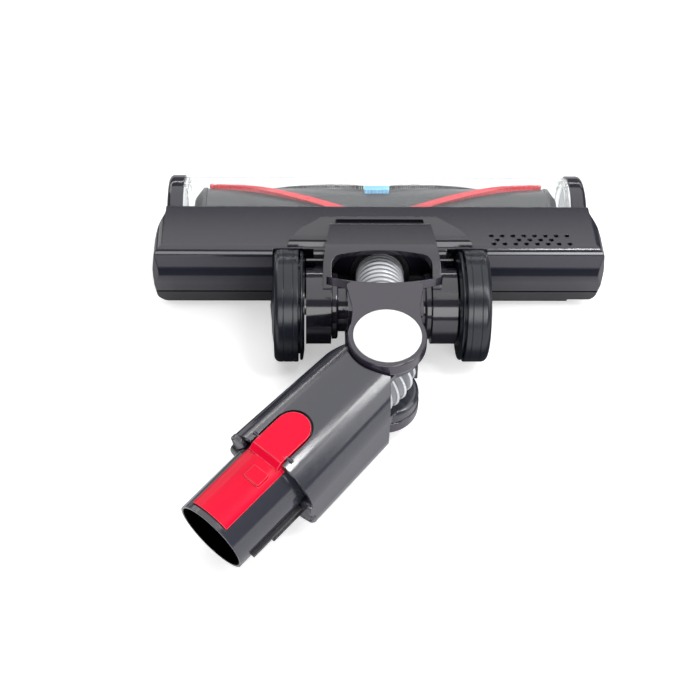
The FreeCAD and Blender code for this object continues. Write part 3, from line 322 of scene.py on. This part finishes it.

# %% [markdown]
# ## Effects that the finishes share
# Moulded parts have no knife edges. The Bevel node rounds each edge for the light alone, and
# the angle between the rounded and the true normal shows where an edge is, which is
# where handling polishes or pales a surface. On most parts that paling is wear; on the red
# latch it is pushed up into a painted highlight along the edges. Fine noise gives the slight
# ripple that a mould leaves, and slow noise varies the gloss as wiping does.

# %% Group: soft edges
EDGE_SAMPLES = 6
FLAT_COSINE = 0.995
EDGE_COSINE = 0.85
soft_edges, given = new_group(
    "soft_edges", [("Radius", "Float", 0.0004)], [("Normal", "Vector"), ("Edge", "Float")]
)
rounded = put(soft_edges, "ShaderNodeBevel", {"Radius": given["Radius"]}, samples=EDGE_SAMPLES).outputs[0]
true_normal = put(soft_edges, "ShaderNodeNewGeometry").outputs["Normal"]
cosine = put(
    soft_edges, "ShaderNodeVectorMath", {0: rounded, 1: true_normal}, operation="DOT_PRODUCT"
).outputs["Value"]
edge = put(
    soft_edges, "ShaderNodeMapRange", {"Value": cosine, "From Min": FLAT_COSINE, "From Max": EDGE_COSINE}
).outputs[0]
put(soft_edges, "NodeGroupOutput", {"Normal": rounded, "Edge": edge})
print("group", soft_edges.name, len(soft_edges.nodes), "nodes")

# %% Group: moulded skin
moulded, given = new_group(
    "moulded_skin",
    [
        ("Color", "Color", (0.05, 0.05, 0.05, 1)),
        ("Worn And Highlight Color", "Color", (0.2, 0.2, 0.2, 1)),
        ("Wear", "Float", 0.2),
        ("Roughness", "Float", 0.25),
        ("Gloss Drift", "Float", 0.06),
        ("Tone Drift", "Float", 0.08),
        ("Grain Size", "Float", 0.0006),
        ("Grain Depth", "Float", 0.05),
        ("Edge Radius", "Float", 0.0004),
    ],
    [("Color", "Color"), ("Roughness", "Float"), ("Normal", "Vector")],
)
edges = put(moulded, "ShaderNodeGroup", node_tree=soft_edges)
moulded.links.new(given["Edge Radius"], edges.inputs["Radius"])
print("group", moulded.name, "takes", [socket.name for socket in given if socket.name])

# %% Moulded skin: three noises
SLOW_SCALE = 28.0
WIPE_STRETCH = (30, 420, 420)


def noise(tree, place, scale, detail):
    """A noise texture's value. scale is a number or an output socket."""
    wanted = {"Vector": place, "Scale": scale, "Detail": detail}
    return put(tree, "ShaderNodeTexNoise", wanted).outputs["Fac"]


spot = object_place(moulded)
along_x = put(moulded, "ShaderNodeMapping", {"Vector": spot, "Scale": WIPE_STRETCH}).outputs[0]
slow = noise(moulded, spot, SLOW_SCALE, 4.0)
wipe = noise(moulded, along_x, 1.0, 3.0)
fine = noise(moulded, spot, maths(moulded, "DIVIDE", 1.0, given["Grain Size"]), 2.0)
print("noises", [node.name for node in moulded.nodes if node.type == "TEX_NOISE"])

# %% Moulded skin: colour, gloss and ripple
RIPPLE = 0.0001
NOISE_LOW, NOISE_HIGH = 0.3, 0.7
patchy = maths(moulded, "MULTIPLY", slow, wipe)
gloss = maths(moulded, "MULTIPLY_ADD", patchy, given["Gloss Drift"], given["Roughness"])
tone = put(
    moulded,
    "ShaderNodeMapRange",
    {
        "Value": slow,
        "From Min": NOISE_LOW,
        "From Max": NOISE_HIGH,
        "To Min": maths(moulded, "SUBTRACT", 1.0, given["Tone Drift"]),
        "To Max": maths(moulded, "ADD", 1.0, given["Tone Drift"]),
    },
).outputs[0]
tinted = put(
    moulded, "ShaderNodeVectorMath", {0: given["Color"], "Scale": tone}, operation="SCALE"
).outputs[0]
# paler edges: wear on most finishes, a painted highlight along the latch's edges
wear_and_highlight_mask = maths(moulded, "MULTIPLY", maths(moulded, "MULTIPLY", edges.outputs["Edge"], given["Wear"]), fine)
worn_and_highlight = put(
    moulded, "ShaderNodeMix", {"Factor": wear_and_highlight_mask, "A": tinted, "B": given["Worn And Highlight Color"]}, data_type="RGBA"
).outputs["Result"]
ripple = {
    "Strength": given["Grain Depth"],
    "Distance": RIPPLE,
    "Height": fine,
    "Normal": edges.outputs["Normal"],
}
bumped = put(moulded, "ShaderNodeBump", ripple).outputs[0]
put(moulded, "NodeGroupOutput", {"Color": worn_and_highlight, "Roughness": gloss, "Normal": bumped})
print("group", moulded.name, len(moulded.nodes), "nodes")

# %% [markdown]
# ## Finishes
# Each finish is one Principled shader fed by the moulded skin with its own values. What
# is the same all over, such as metal or coat, is set on the shader itself. The head,
# yoke, neck and wand are black or dark grey gloss plastic, so they differ by little more
# than tint. The red parts are dyed through, and only their edges pale; on the latch the
# pale edges are a painted highlight.

# %% Helper: one moulded finish
COAT_ROUGHNESS = 0.06
PALE_GAIN = 2.2
PALE_LIFT = 0.05


def finish(name, color, worn_and_highlight=None, metallic=0.0, shader=None, **values):
    """A material from the moulded skin. values name the group's inputs, with _ for a space."""
    paint, tree = empty_material(name)
    pale = worn_and_highlight or [min(1, c * PALE_GAIN + PALE_LIFT) for c in color]
    skin = put(tree, "ShaderNodeGroup", node_tree=moulded)
    skin.inputs["Color"].default_value = (*color, 1)
    skin.inputs["Worn And Highlight Color"].default_value = (*pale, 1)
    for key, value in values.items():
        skin.inputs[key.replace("_", " ")].default_value = value
    fixed = {"Metallic": metallic, "Coat Roughness": COAT_ROUGHNESS, **(shader or {})}
    body = put(tree, "ShaderNodeBsdfPrincipled", fixed)
    for label, socket in (("Color", "Base Color"), ("Roughness", "Roughness"), ("Normal", "Normal")):
        tree.links.new(skin.outputs[label], body.inputs[socket])
    put(tree, "ShaderNodeOutputMaterial", {"Surface": body.outputs[0]})
    return paint


print("finish helper ready")

# %% Gloss plastics
GLOSSY = {"IOR": 1.7}
SATIN = {"IOR": 1.5, "Specular IOR Level": 0.5}
SOFT_SHINE = {"Specular IOR Level": 0.15}
paints = {
    "shell_black": finish(
        "shell_gloss", (0.011, 0.011, 0.020), shader=GLOSSY, Roughness=0.10, Wear=0.2, Edge_Radius=0.0009
    ),
    "yoke_black": finish("yoke_gloss", (0.012, 0.011, 0.018), shader=GLOSSY, Roughness=0.10, Wear=0.2),
    "neck_grey": finish("neck_gloss", (0.021, 0.017, 0.028), shader=GLOSSY, Roughness=0.08, Wear=0.25),
    "wand_grey": finish(
        "wand_gloss", (0.024, 0.025, 0.035), shader=GLOSSY, Roughness=0.14, Wear=0.3, Tone_Drift=0.05
    ),
    "wheel_navy": finish("wheel_gloss", (0.006, 0.009, 0.014), shader=SATIN, Roughness=0.2),
    # the latch's high wear and pale pink edge colour paint a highlight along its edges
    "latch_red": finish(
        "latch_red",
        (0.72, 0.002, 0.030),
        worn_and_highlight=(1.0, 0.42, 0.46),
        shader=SOFT_SHINE,
        Roughness=0.14,
        Wear=0.9,
        Edge_Radius=0.0005,
    ),
}
print("gloss", list(paints))

# %% Matt plastics, rubber and felt
matt_paints = {
    "sole_black": finish(
        "sole_satin", (0.016, 0.016, 0.019), Roughness=0.34, Grain_Size=0.0004, Grain_Depth=0.2
    ),
    "tyre_rubber": finish(
        "tyre_rubber", (0.008, 0.010, 0.016), shader=SATIN, Roughness=0.24, Grain_Depth=0.15
    ),
    "cap_white": finish(
        "cap_white", (0.80, 0.80, 0.80), worn_and_highlight=(0.8, 0.8, 0.8), Roughness=0.35, Tone_Drift=0.01
    ),
    "duct_black": finish("duct_matt", (0.006, 0.005, 0.008), Roughness=0.45, Grain_Depth=0.3),
    "board_green": finish("board_green", (0.02, 0.14, 0.05), Roughness=0.35),
    "felt_grey": finish("felt", (0.12, 0.12, 0.13), Roughness=0.9, Grain_Size=0.0003, Grain_Depth=1.0),
    "wiper_rubber": finish("wiper_rubber", (0.020, 0.020, 0.022), Roughness=0.45, Grain_Depth=0.2),
    "red_nylon": finish(
        "red_nylon", (0.52, 0.008, 0.02), worn_and_highlight=(0.9, 0.35, 0.33), Roughness=0.45, Tone_Drift=0.25
    ),
    "carbon_fibre": finish("carbon_fibre", (0.02, 0.02, 0.022), Roughness=0.4, Tone_Drift=0.2),
    "blue_nylon": finish(
        "blue_nylon", (0.17, 0.43, 0.68), worn_and_highlight=(0.6, 0.8, 0.9), Roughness=0.45, Tone_Drift=0.2
    ),
}
paints.update(matt_paints)
print("matt", list(matt_paints))

# %% Metals and metallic plastics
metal_paints = {
    "hose_silver": finish("hose_skin", (0.19, 0.195, 0.21), metallic=0.2, Roughness=0.34, Tone_Drift=0.08),
    "core_grey": finish("core_grey", (0.020, 0.022, 0.025), metallic=0.2, Roughness=0.3),
    "motor_can": finish("motor_can", (0.30, 0.31, 0.33), metallic=0.8, Roughness=0.4),
    "steel": finish("pin_steel", (0.55, 0.55, 0.56), metallic=1.0, Roughness=0.3, Wear=0.1),
    "contact_brass": finish("contact_brass", (0.75, 0.52, 0.24), metallic=1.0, Roughness=0.3),
}
paints.update(metal_paints)
# the hoops' brighter colour is a painted highlight along the crests
hose_hoop_highlight = finish("hose_hoop_highlight", (0.60, 0.61, 0.64), metallic=0.1, Roughness=0.26, Tone_Drift=0.05)
print("metal", list(metal_paints), "and", hose_hoop_highlight.name)

# %% [markdown]
# ## Clear cover
# Clear plastic is glass to the camera. Lamps couldn't reach the brush through true glass,
# so rays that look for a lamp pass straight through, as if the wall weren't there. A faint
# smear in the roughness keeps it from looking like nothing at all.

# %% Clear plastic
SMEAR_SCALE = 60.0
CLEAREST, HAZIEST = 0.01, 0.05
COVER_EDGE = 0.0005
clear, tree = empty_material("clear_plastic")
edges = put(tree, "ShaderNodeGroup", node_tree=soft_edges)
edges.inputs["Radius"].default_value = COVER_EDGE
smear = noise(tree, object_place(tree), SMEAR_SCALE, 2.0)
haze = put(tree, "ShaderNodeMapRange", {"Value": smear, "To Min": CLEAREST, "To Max": HAZIEST}).outputs[0]
glass = put(
    tree,
    "ShaderNodeBsdfPrincipled",
    {
        "Base Color": (0.97, 0.985, 0.985, 1),
        "Transmission Weight": 1.0,
        "IOR": 1.45,
        "Roughness": haze,
        "Normal": edges.outputs["Normal"],
    },
).outputs[0]
passing = put(tree, "ShaderNodeBsdfTransparent", {"Color": (0.93, 0.95, 0.95, 1)}).outputs[0]
shadow_ray = put(tree, "ShaderNodeLightPath").outputs["Is Shadow Ray"]
cover = put(tree, "ShaderNodeMixShader", {"Fac": shadow_ray, 1: glass, 2: passing}).outputs[0]
put(tree, "ShaderNodeOutputMaterial", {"Surface": cover})
paints["clear"] = clear
print("clear plastic made")

# %% [markdown]
# ## Painted shade where light can't reach
# Two places are in deep shade on the real head whatever stands around it: the bore of the
# plug-in tube, and the gap of the parting line where the shell meets the sole. Their shade
# is painted. A gloss paint would mirror the lamps there, so a copy of the paint gets a mask
# on CAD coordinates instead, and where the mask is 1 the shader has no colour and mirrors
# nothing.

# %% Helper: a copy of a finish with painted shade, black under a mask
# the black of painted shade, which mirrors nothing
PAINTED_SHADE_BLACK = (0.001, 0.001, 0.001, 1)
BLACK_ROUGHNESS = 0.9


def painted_shade_copy(paint, suffix, mask_of):
    """A copy of a finish, painted black as shade where the mask is 1. mask_of takes its tree and returns the
    socket of the mask.
    """
    dark = paint.copy()
    dark.name = paint.name + suffix
    tree = dark.node_tree
    body = next(n for n in tree.nodes if n.type == "BSDF_PRINCIPLED")
    skin = next(n for n in tree.nodes if n.type == "GROUP")
    mask = mask_of(tree)
    color = {"Factor": mask, "A": skin.outputs["Color"], "B": PAINTED_SHADE_BLACK}
    rough = {"Factor": mask, "A": skin.outputs["Roughness"], "B": BLACK_ROUGHNESS}
    black = put(tree, "ShaderNodeMix", color, data_type="RGBA").outputs["Result"]
    matt = put(tree, "ShaderNodeMix", rough).outputs["Result"]
    for source, target in ((black, "Base Color"), (matt, "Roughness"), (mask, "Metallic")):
        tree.links.new(source, body.inputs[target])
    return dark


print("black copy helper ready")

# %% Masks for the painted shade in the bore and on the parting line
MASK_BLUR = 0.0003


def near_line(point, way, radius):
    """Mask that is 1 nearer to a line than radius."""

    def mask(tree):
        offset = put(tree, "ShaderNodeVectorMath", {0: object_place(tree), 1: point}, operation="SUBTRACT")
        across = put(tree, "ShaderNodeVectorMath", {0: offset.outputs[0], 1: way}, operation="CROSS_PRODUCT")
        far = put(tree, "ShaderNodeVectorMath", {0: across.outputs[0]}, operation="LENGTH").outputs["Value"]
        rim = {"Value": far, "From Min": radius, "From Max": radius - MASK_BLUR}
        return put(tree, "ShaderNodeMapRange", rim).outputs[0]

    return mask


def beside_height(height, side):
    """Mask that is 1 above or below a height, as side says."""

    def mask(tree):
        z = put(tree, "ShaderNodeSeparateXYZ", {0: object_place(tree)}).outputs["Z"]
        return maths(tree, side, z, height)

    return mask


print("masks ready")

# %% [markdown]
# ## Finishes on the CAD pieces
# The record says which finish each solid has, so one loop dresses them all. Then come
# the exceptions: the latch's pin, which is hidden in the grey of the housing, and the
# painted shade on the two sides of the parting line and in the bore.

# %% Dress the CAD pieces
BORE_EDGE = 18.9 * MM
PARTING = 0.7 * MM
for part in record["subparts"]:
    piece = nodes[part["node"]]
    piece.data.materials.clear()
    piece.data.materials.append(paints[part["material_slot"]])
shell_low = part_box("body_shell")[0][2]
# the bore and both sides of the parting line get painted shade, black where no light reaches
dressed_apart = {
    "latch_pin": paints["wand_grey"],
    "wand_tube": painted_shade_copy(paints["wand_grey"], "_bore", near_line(MOUTH, TUBE, BORE_EDGE)),
    "sole_plate": painted_shade_copy(
        paints["sole_black"], "_parting_painted_shade", beside_height(shell_low - PARTING, "GREATER_THAN")
    ),
    "body_shell": painted_shade_copy(
        paints["shell_black"], "_parting_painted_shade", beside_height(shell_low + PARTING, "LESS_THAN")
    ),
}
for node, paint in dressed_apart.items():
    nodes[node].data.materials[0] = paint
print("dressed", len(record["subparts"]), "pieces, and apart", list(dressed_apart))

# %% [markdown]
# ## The hose
# The solid hose has one ring to each crest and each valley. The visible one follows the
# same route with a finer profile: narrow raised hoops over the reinforcing wire and wide
# slack valleys between them. It crosses two joints, so it is two pieces that meet under
# the neck's plate: the front one runs between head and neck, the rear one between neck
# and wand. The route is the one of the solids: out of the duct, through the arch of the
# yoke, under the neck's plate, past the swivel and into the collar of the wand.

# %% Route of the hose
DUCT_TILT = math.radians(-15)
ROUTE_STEPS = 60
FOOT_DEPTH = 19.9 * MM
duct_way = Matrix.Rotation(DUCT_TILT, 3, "X") @ Vector((0, -1, 0))
swivel_foot = TEE - SWIVEL * FOOT_DEPTH
out_of_duct = WHEEL + Vector((0, 19, 5.5)) * MM - duct_way * 2 * MM
in_arch = WHEEL + Vector((-0.6, 4, 9.7)) * MM
under_plate = WHEEL + Vector((-0.2, -24, 12.6)) * MM
past_swivel = swivel_foot + Vector((2.0, -1.6, 0)) * MM + SWIVEL * 14.2 * MM
before_collar = TEE + TUBE * 28 * MM + Vector((2.2, -1.0, -1.4)) * MM
in_collar = TEE + TUBE * 46 * MM
route_points = [out_of_duct, in_arch, under_plate, past_swivel, before_collar, in_collar]


def smooth_route(points, first, last, steps):
    """Points of a cubic through all points, with the given directions at its two ends."""
    ways = [(b - a) for a, b in zip(points, points[2:])]
    spans = [(b - a).length for a, b in zip(points, points[1:])]
    slopes = [first * spans[0]]
    slopes += [w / (spans[i] + spans[i + 1]) for i, w in enumerate(ways)]
    slopes.append(last * spans[-1])
    out = []
    for i, span in enumerate(spans):
        a, b = points[i], points[i + 1]
        m0 = slopes[i] * (1 if i == 0 else span)
        m1 = slopes[i + 1] * (1 if i == len(spans) - 1 else span)
        for k in range(steps):
            t = k / steps
            h00 = 2 * t**3 - 3 * t**2 + 1
            h10 = t**3 - 2 * t**2 + t
            h01 = 3 * t**2 - 2 * t**3
            h11 = t**3 - t**2
            out.append(a * h00 + m0 * h10 + b * h01 + m1 * h11)
    return out + [points[-1]]


route = smooth_route(route_points, duct_way, TUBE, ROUTE_STEPS)
print("route of", len(route), "points")

# %% Places along the route
lengths = [0.0]
for a, b in zip(route, route[1:]):
    lengths.append(lengths[-1] + (b - a).length)
hose_length = lengths[-1]


def along(distance):
    """Place and direction on the route at a distance from its start."""
    distance = min(max(distance, 0.0), hose_length)
    i = 0
    while i < len(lengths) - 2 and lengths[i + 1] < distance:
        i += 1
    share = (distance - lengths[i]) / (lengths[i + 1] - lengths[i])
    here = route[i].lerp(route[i + 1], share)
    before = route[max(i - 2, 0)]
    after = route[min(i + 3, len(route) - 1)]
    return here, (after - before).normalized()


def ring_frame(distance):
    """Frame of a ring: its Z runs along the hose."""
    here, way = along(distance)
    return Matrix.Translation(here) @ way.to_track_quat("Z", "X").to_matrix().to_4x4()


print("hose length", round(hose_length / MM, 1), "mm")

# %% [markdown]
# ## Rings of the hose
# A hoop is a bell curve on top of the valley's radius. One circle is extruded from
# station to station along the route, outside first and then back through the plain bore,
# and the last ring is bridged to the first, so the wall is closed. Faces on a hoop get a
# brighter finish, a painted highlight along each crest.

# %% One piece of hose
ROOT = 11.9 * MM
CREST = 13.2 * MM
BORE = 10.9 * MM
PER_PITCH = 8
ROUND = 44
HOOP_WIDTH = 0.42


def in_pitch(step):
    """Where a step lies in its pitch, from -0.5 to 0.5, with the hoop's top at 0."""
    return (step / PER_PITCH) % 1.0 - 0.5


def hose_rings(start, end, count, wide):
    """(distance, radius) of each ring: out along the corrugated skin, back in the bore."""
    rings = []
    for i in range(count + 1):
        hoop = math.exp(-((in_pitch(i) / (HOOP_WIDTH * wide)) ** 2))
        rings.append((start + (end - start) * i / count, ROOT + (CREST - ROOT) * hoop))
    return rings + [(distance, BORE) for distance, _ in reversed(rings[::PER_PITCH])]


def hose_piece(name, start, end, pitch, wide):
    """Hose from start to end. wide is the share of each pitch that the hoop takes."""
    count = round((end - start) / pitch) * PER_PITCH
    rings = hose_rings(start, end, count, wide)
    skin = bmesh.new()
    here = ring_frame(rings[0][0])
    size = rings[0][1]
    bmesh.ops.create_circle(skin, segments=ROUND, radius=size, matrix=here)
    edge = list(skin.edges)
    first_edge = list(edge)
    for i, (distance, radius) in enumerate(rings[1:]):
        made = bmesh.ops.extrude_edge_only(skin, edges=edge)["geom"]
        corners = [e for e in made if isinstance(e, bmesh.types.BMVert)]
        edge = [e for e in made if isinstance(e, bmesh.types.BMEdge)]
        # hoop faces take the second material, a painted highlight along the crest
        on_hoop = i < count and abs(in_pitch(i + 0.5)) < wide / 2
        for face in made:
            if isinstance(face, bmesh.types.BMFace):
                face.material_index = int(on_hoop)
        there = ring_frame(distance)
        change = there @ Matrix.Scale(radius / size, 4) @ here.inverted()
        bmesh.ops.transform(skin, matrix=change, verts=corners)
        here, size = there, radius
    bmesh.ops.bridge_loops(skin, edges=first_edge + edge)
    bmesh.ops.recalc_face_normals(skin, faces=skin.faces)
    for face in skin.faces:
        face.smooth = True
    piece = to_object(skin, name, paints["hose_silver"], hose_hoop_highlight)
    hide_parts("flex_hose")
    return piece


print("hose helper ready")

# %% Two pieces of hose
SEAM_SHARE = 0.42
SEAM_GAP = 0.01 * MM
seam = SEAM_SHARE * hose_length
hose_front = hose_piece("hose_front", 0.0, seam - SEAM_GAP, pitch=3.5 * MM, wide=0.6)
hose_rear = hose_piece("hose_rear", seam + SEAM_GAP, hose_length, pitch=3.9 * MM, wide=0.3)
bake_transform(hose_front)
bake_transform(hose_rear)
print("hose faces", len(hose_front.data.polygons), len(hose_rear.data.polygons))

# %% [markdown]
# ## Bristles
# On the real brush each strip is a row of tufts. A tuft here is a tapered bundle with a
# few loose filaments that stand out of its end, so that the strip gets a ragged edge. A
# strip could be one ribbon, but its edge would look cut. The rows have the helix of the
# solids that they stand for. The red ones are turned 6 degrees further, to where the
# photograph shows them. The loose ends stay inside the reach of the solids.

# %% Places on the brush core
HELIX = 430 * MM
INNER_X = 8 * MM
END_MARGIN = 2.6 * MM
core_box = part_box("brush_core")
core_radius = (core_box[1][2] - core_box[0][2]) / 2
row_end = core_box[1][0] - END_MARGIN


def reach(node):
    """Largest distance of a solid's points from the brush axis."""
    points = [v.co - BRUSH for v in nodes[node].data.vertices]
    return max(math.hypot(p.y, p.z) for p in points)


def spoke(x, angle):
    """Frame whose Z points out of the core at x and an angle from +Y towards +Z."""
    turn = Matrix.Rotation(math.radians(angle - 90), 4, "X")
    return Matrix.Translation((x, BRUSH.y, BRUSH.z)) @ turn @ Matrix.Translation((0, 0, core_radius))


def rows(start_angle, step):
    """Places along the four helical rows."""
    count = int((row_end - INNER_X) / step)
    out = []
    for turn in (0, 180):
        for side in (1, -1):
            for i in range(count + 1):
                x = INNER_X + (row_end - INNER_X) * i / count
                out.append((side * x, start_angle + turn - 360 * x / HELIX))
    return out


print("core radius", round(core_radius / MM, 2), "mm, rows end at", round(row_end / MM, 1), "mm")

# %% One tuft
random.seed(7)
FOOT = 0.1 * MM
BUNDLE_SIDES = 7
BUNDLE_SHARE = 0.8
BUNDLE_ROOT = 0.8
HAIR_SIDES = 3
HAIR_TIP = 0.6
LOOSE_SPREAD = 0.8
LOOSE_SHORTEST, LOOSE_LONGEST = 0.86, 0.97
LOOSE_CLEARANCE = 0.3 * MM
LEAN = 0.09
SLANT = 0.12


def cone(mesh, sides, root, tip, long, place):
    """A closed cone of a few sides that stands on place, FOOT above it."""
    lift = Matrix.Translation((0, 0, FOOT + long / 2))
    bmesh.ops.create_cone(
        mesh, cap_ends=True, segments=sides, radius1=root, radius2=tip, depth=long, matrix=place @ lift
    )


def tuft(mesh, x, angle, tall, thick, loose, hair):
    """One bundle with loose filaments on its end."""
    cone(mesh, BUNDLE_SIDES, BUNDLE_ROOT * thick, thick, BUNDLE_SHARE * tall, spoke(x, angle))
    for _ in range(loose):
        side = random.uniform(-LOOSE_SPREAD, LOOSE_SPREAD) * thick
        shift = random.uniform(-LOOSE_SPREAD, LOOSE_SPREAD) * thick
        long = tall * random.uniform(LOOSE_SHORTEST, LOOSE_LONGEST) - LOOSE_CLEARANCE
        lean = Matrix.Rotation(random.uniform(-LEAN, LEAN), 4, "X")
        slant = Matrix.Rotation(random.uniform(-SLANT, SLANT), 4, "Y")
        there = spoke(x + shift, angle + math.degrees(side / core_radius)) @ lean @ slant
        cone(mesh, HAIR_SIDES, hair, HAIR_TIP * hair, long, there)


def bristle_piece(name, node, slot_name, places, thick, loose, hair):
    """One object with a tuft at each (x, angle) of places, riding on the brush."""
    tall = reach(node) - core_radius
    mesh = bmesh.new()
    for x, angle in places:
        tuft(mesh, x, angle, tall, thick, loose, hair)
    piece = to_object(mesh, name, paints[slot_name])
    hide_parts(node)
    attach(piece, "brush")
    print(name, len(places), "tufts", len(piece.data.polygons), "faces")


print("tuft helper ready")

# %% All tufts
RED_START = 134
CARBON_START = 74
BLUE_ANGLES = (70.5, 75, 79.5)
red_places = rows(RED_START, 1.9 * MM)
carbon_places = rows(CARBON_START, 1.2 * MM)
blue_places = [(x * MM, angle) for x in range(-6, 7, 2) for angle in BLUE_ANGLES]
bristle_piece(
    "red_tufts", "red_bristles", "red_nylon", red_places, thick=1.9 * MM, loose=8, hair=0.22 * MM
)
bristle_piece(
    "carbon_tufts", "carbon_bristles", "carbon_fibre", carbon_places, thick=0.6 * MM, loose=4, hair=0.12 * MM
)
bristle_piece(
    "blue_tufts", "blue_bristles", "blue_nylon", blue_places, thick=1.25 * MM, loose=8, hair=0.2 * MM
)

# %% [markdown]
# ## Round ends of the side walls
# At its mouth the housing's side walls end in round lobes. Each gets its clear face: a
# short disc, cut flat where it meets the tube. A groove runs round the raised middle,
# and it reads as the dark outline of the photograph.

# %% Lobe faces
LOBE_SEGMENTS = 48
LOBE_RADIUS = 5.2 * MM
LOBE_LENGTH = 2.3 * MM
LOBE_RIM = 1.1 * MM
GROOVE_WIDE = 0.4 * MM
GROOVE_DEEP = 0.8 * MM
GROOVE_SLOPE = 0.05 * MM
SAME_PLACE = 1e-7
HOUSING_END = 84.05 * MM
TUBE_CLEAR = 20.4 * MM
SIDE = SWIVEL.cross(TUBE).normalized()
HIGH = TUBE.cross(SIDE)
# how far in, how deep: the rim, down into the groove, across it, and up to the middle
STEPS_IN = ((LOBE_RIM, 0), (GROOVE_SLOPE, -GROOVE_DEEP), (GROOVE_WIDE, 0), (GROOVE_SLOPE, GROOVE_DEEP))


def lobe_face(name, across, high):
    """A disc at the mouth of the housing, at across and high from the tube's axis, in mm."""
    out = (SIDE * across + HIGH * high) * MM
    place = Matrix((SIDE, HIGH, TUBE)).transposed().to_4x4()
    place.translation = TEE + TUBE * HOUSING_END + out
    mesh = bmesh.new()
    bmesh.ops.create_circle(mesh, cap_ends=True, segments=LOBE_SEGMENTS, radius=LOBE_RADIUS, matrix=place)
    made = bmesh.ops.extrude_face_region(mesh, geom=list(mesh.faces))["geom"]
    corners = [e for e in made if isinstance(e, bmesh.types.BMVert)]
    bmesh.ops.translate(mesh, verts=corners, vec=TUBE * LOBE_LENGTH)
    face = [f for f in mesh.faces if corners[0] in f.verts and len(f.verts) == LOBE_SEGMENTS]
    for thick, deep in STEPS_IN:
        bmesh.ops.inset_region(mesh, faces=face, thickness=thick, depth=deep, use_even_offset=True)
    everything = mesh.verts[:] + mesh.edges[:] + mesh.faces[:]
    flat = TEE + out.normalized() * TUBE_CLEAR
    cut = bmesh.ops.bisect_plane(
        mesh, geom=everything, dist=SAME_PLACE, plane_co=flat, plane_no=out.normalized(), clear_inner=True
    )
    rim = [e for e in cut["geom_cut"] if isinstance(e, bmesh.types.BMEdge)]
    bmesh.ops.contextual_create(mesh, geom=rim)
    bmesh.ops.recalc_face_normals(mesh, faces=mesh.faces)
    piece = to_object(mesh, name, paints["wand_grey"])
    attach(piece, "wand")
    return piece


upper_lobe = lobe_face("upper_lobe_face", across=-18.6, high=13.2)
lower_lobe = lobe_face("lower_lobe_face", across=22.8, high=-10.2)
print("lobe faces", len(upper_lobe.data.polygons), len(lower_lobe.data.polygons))
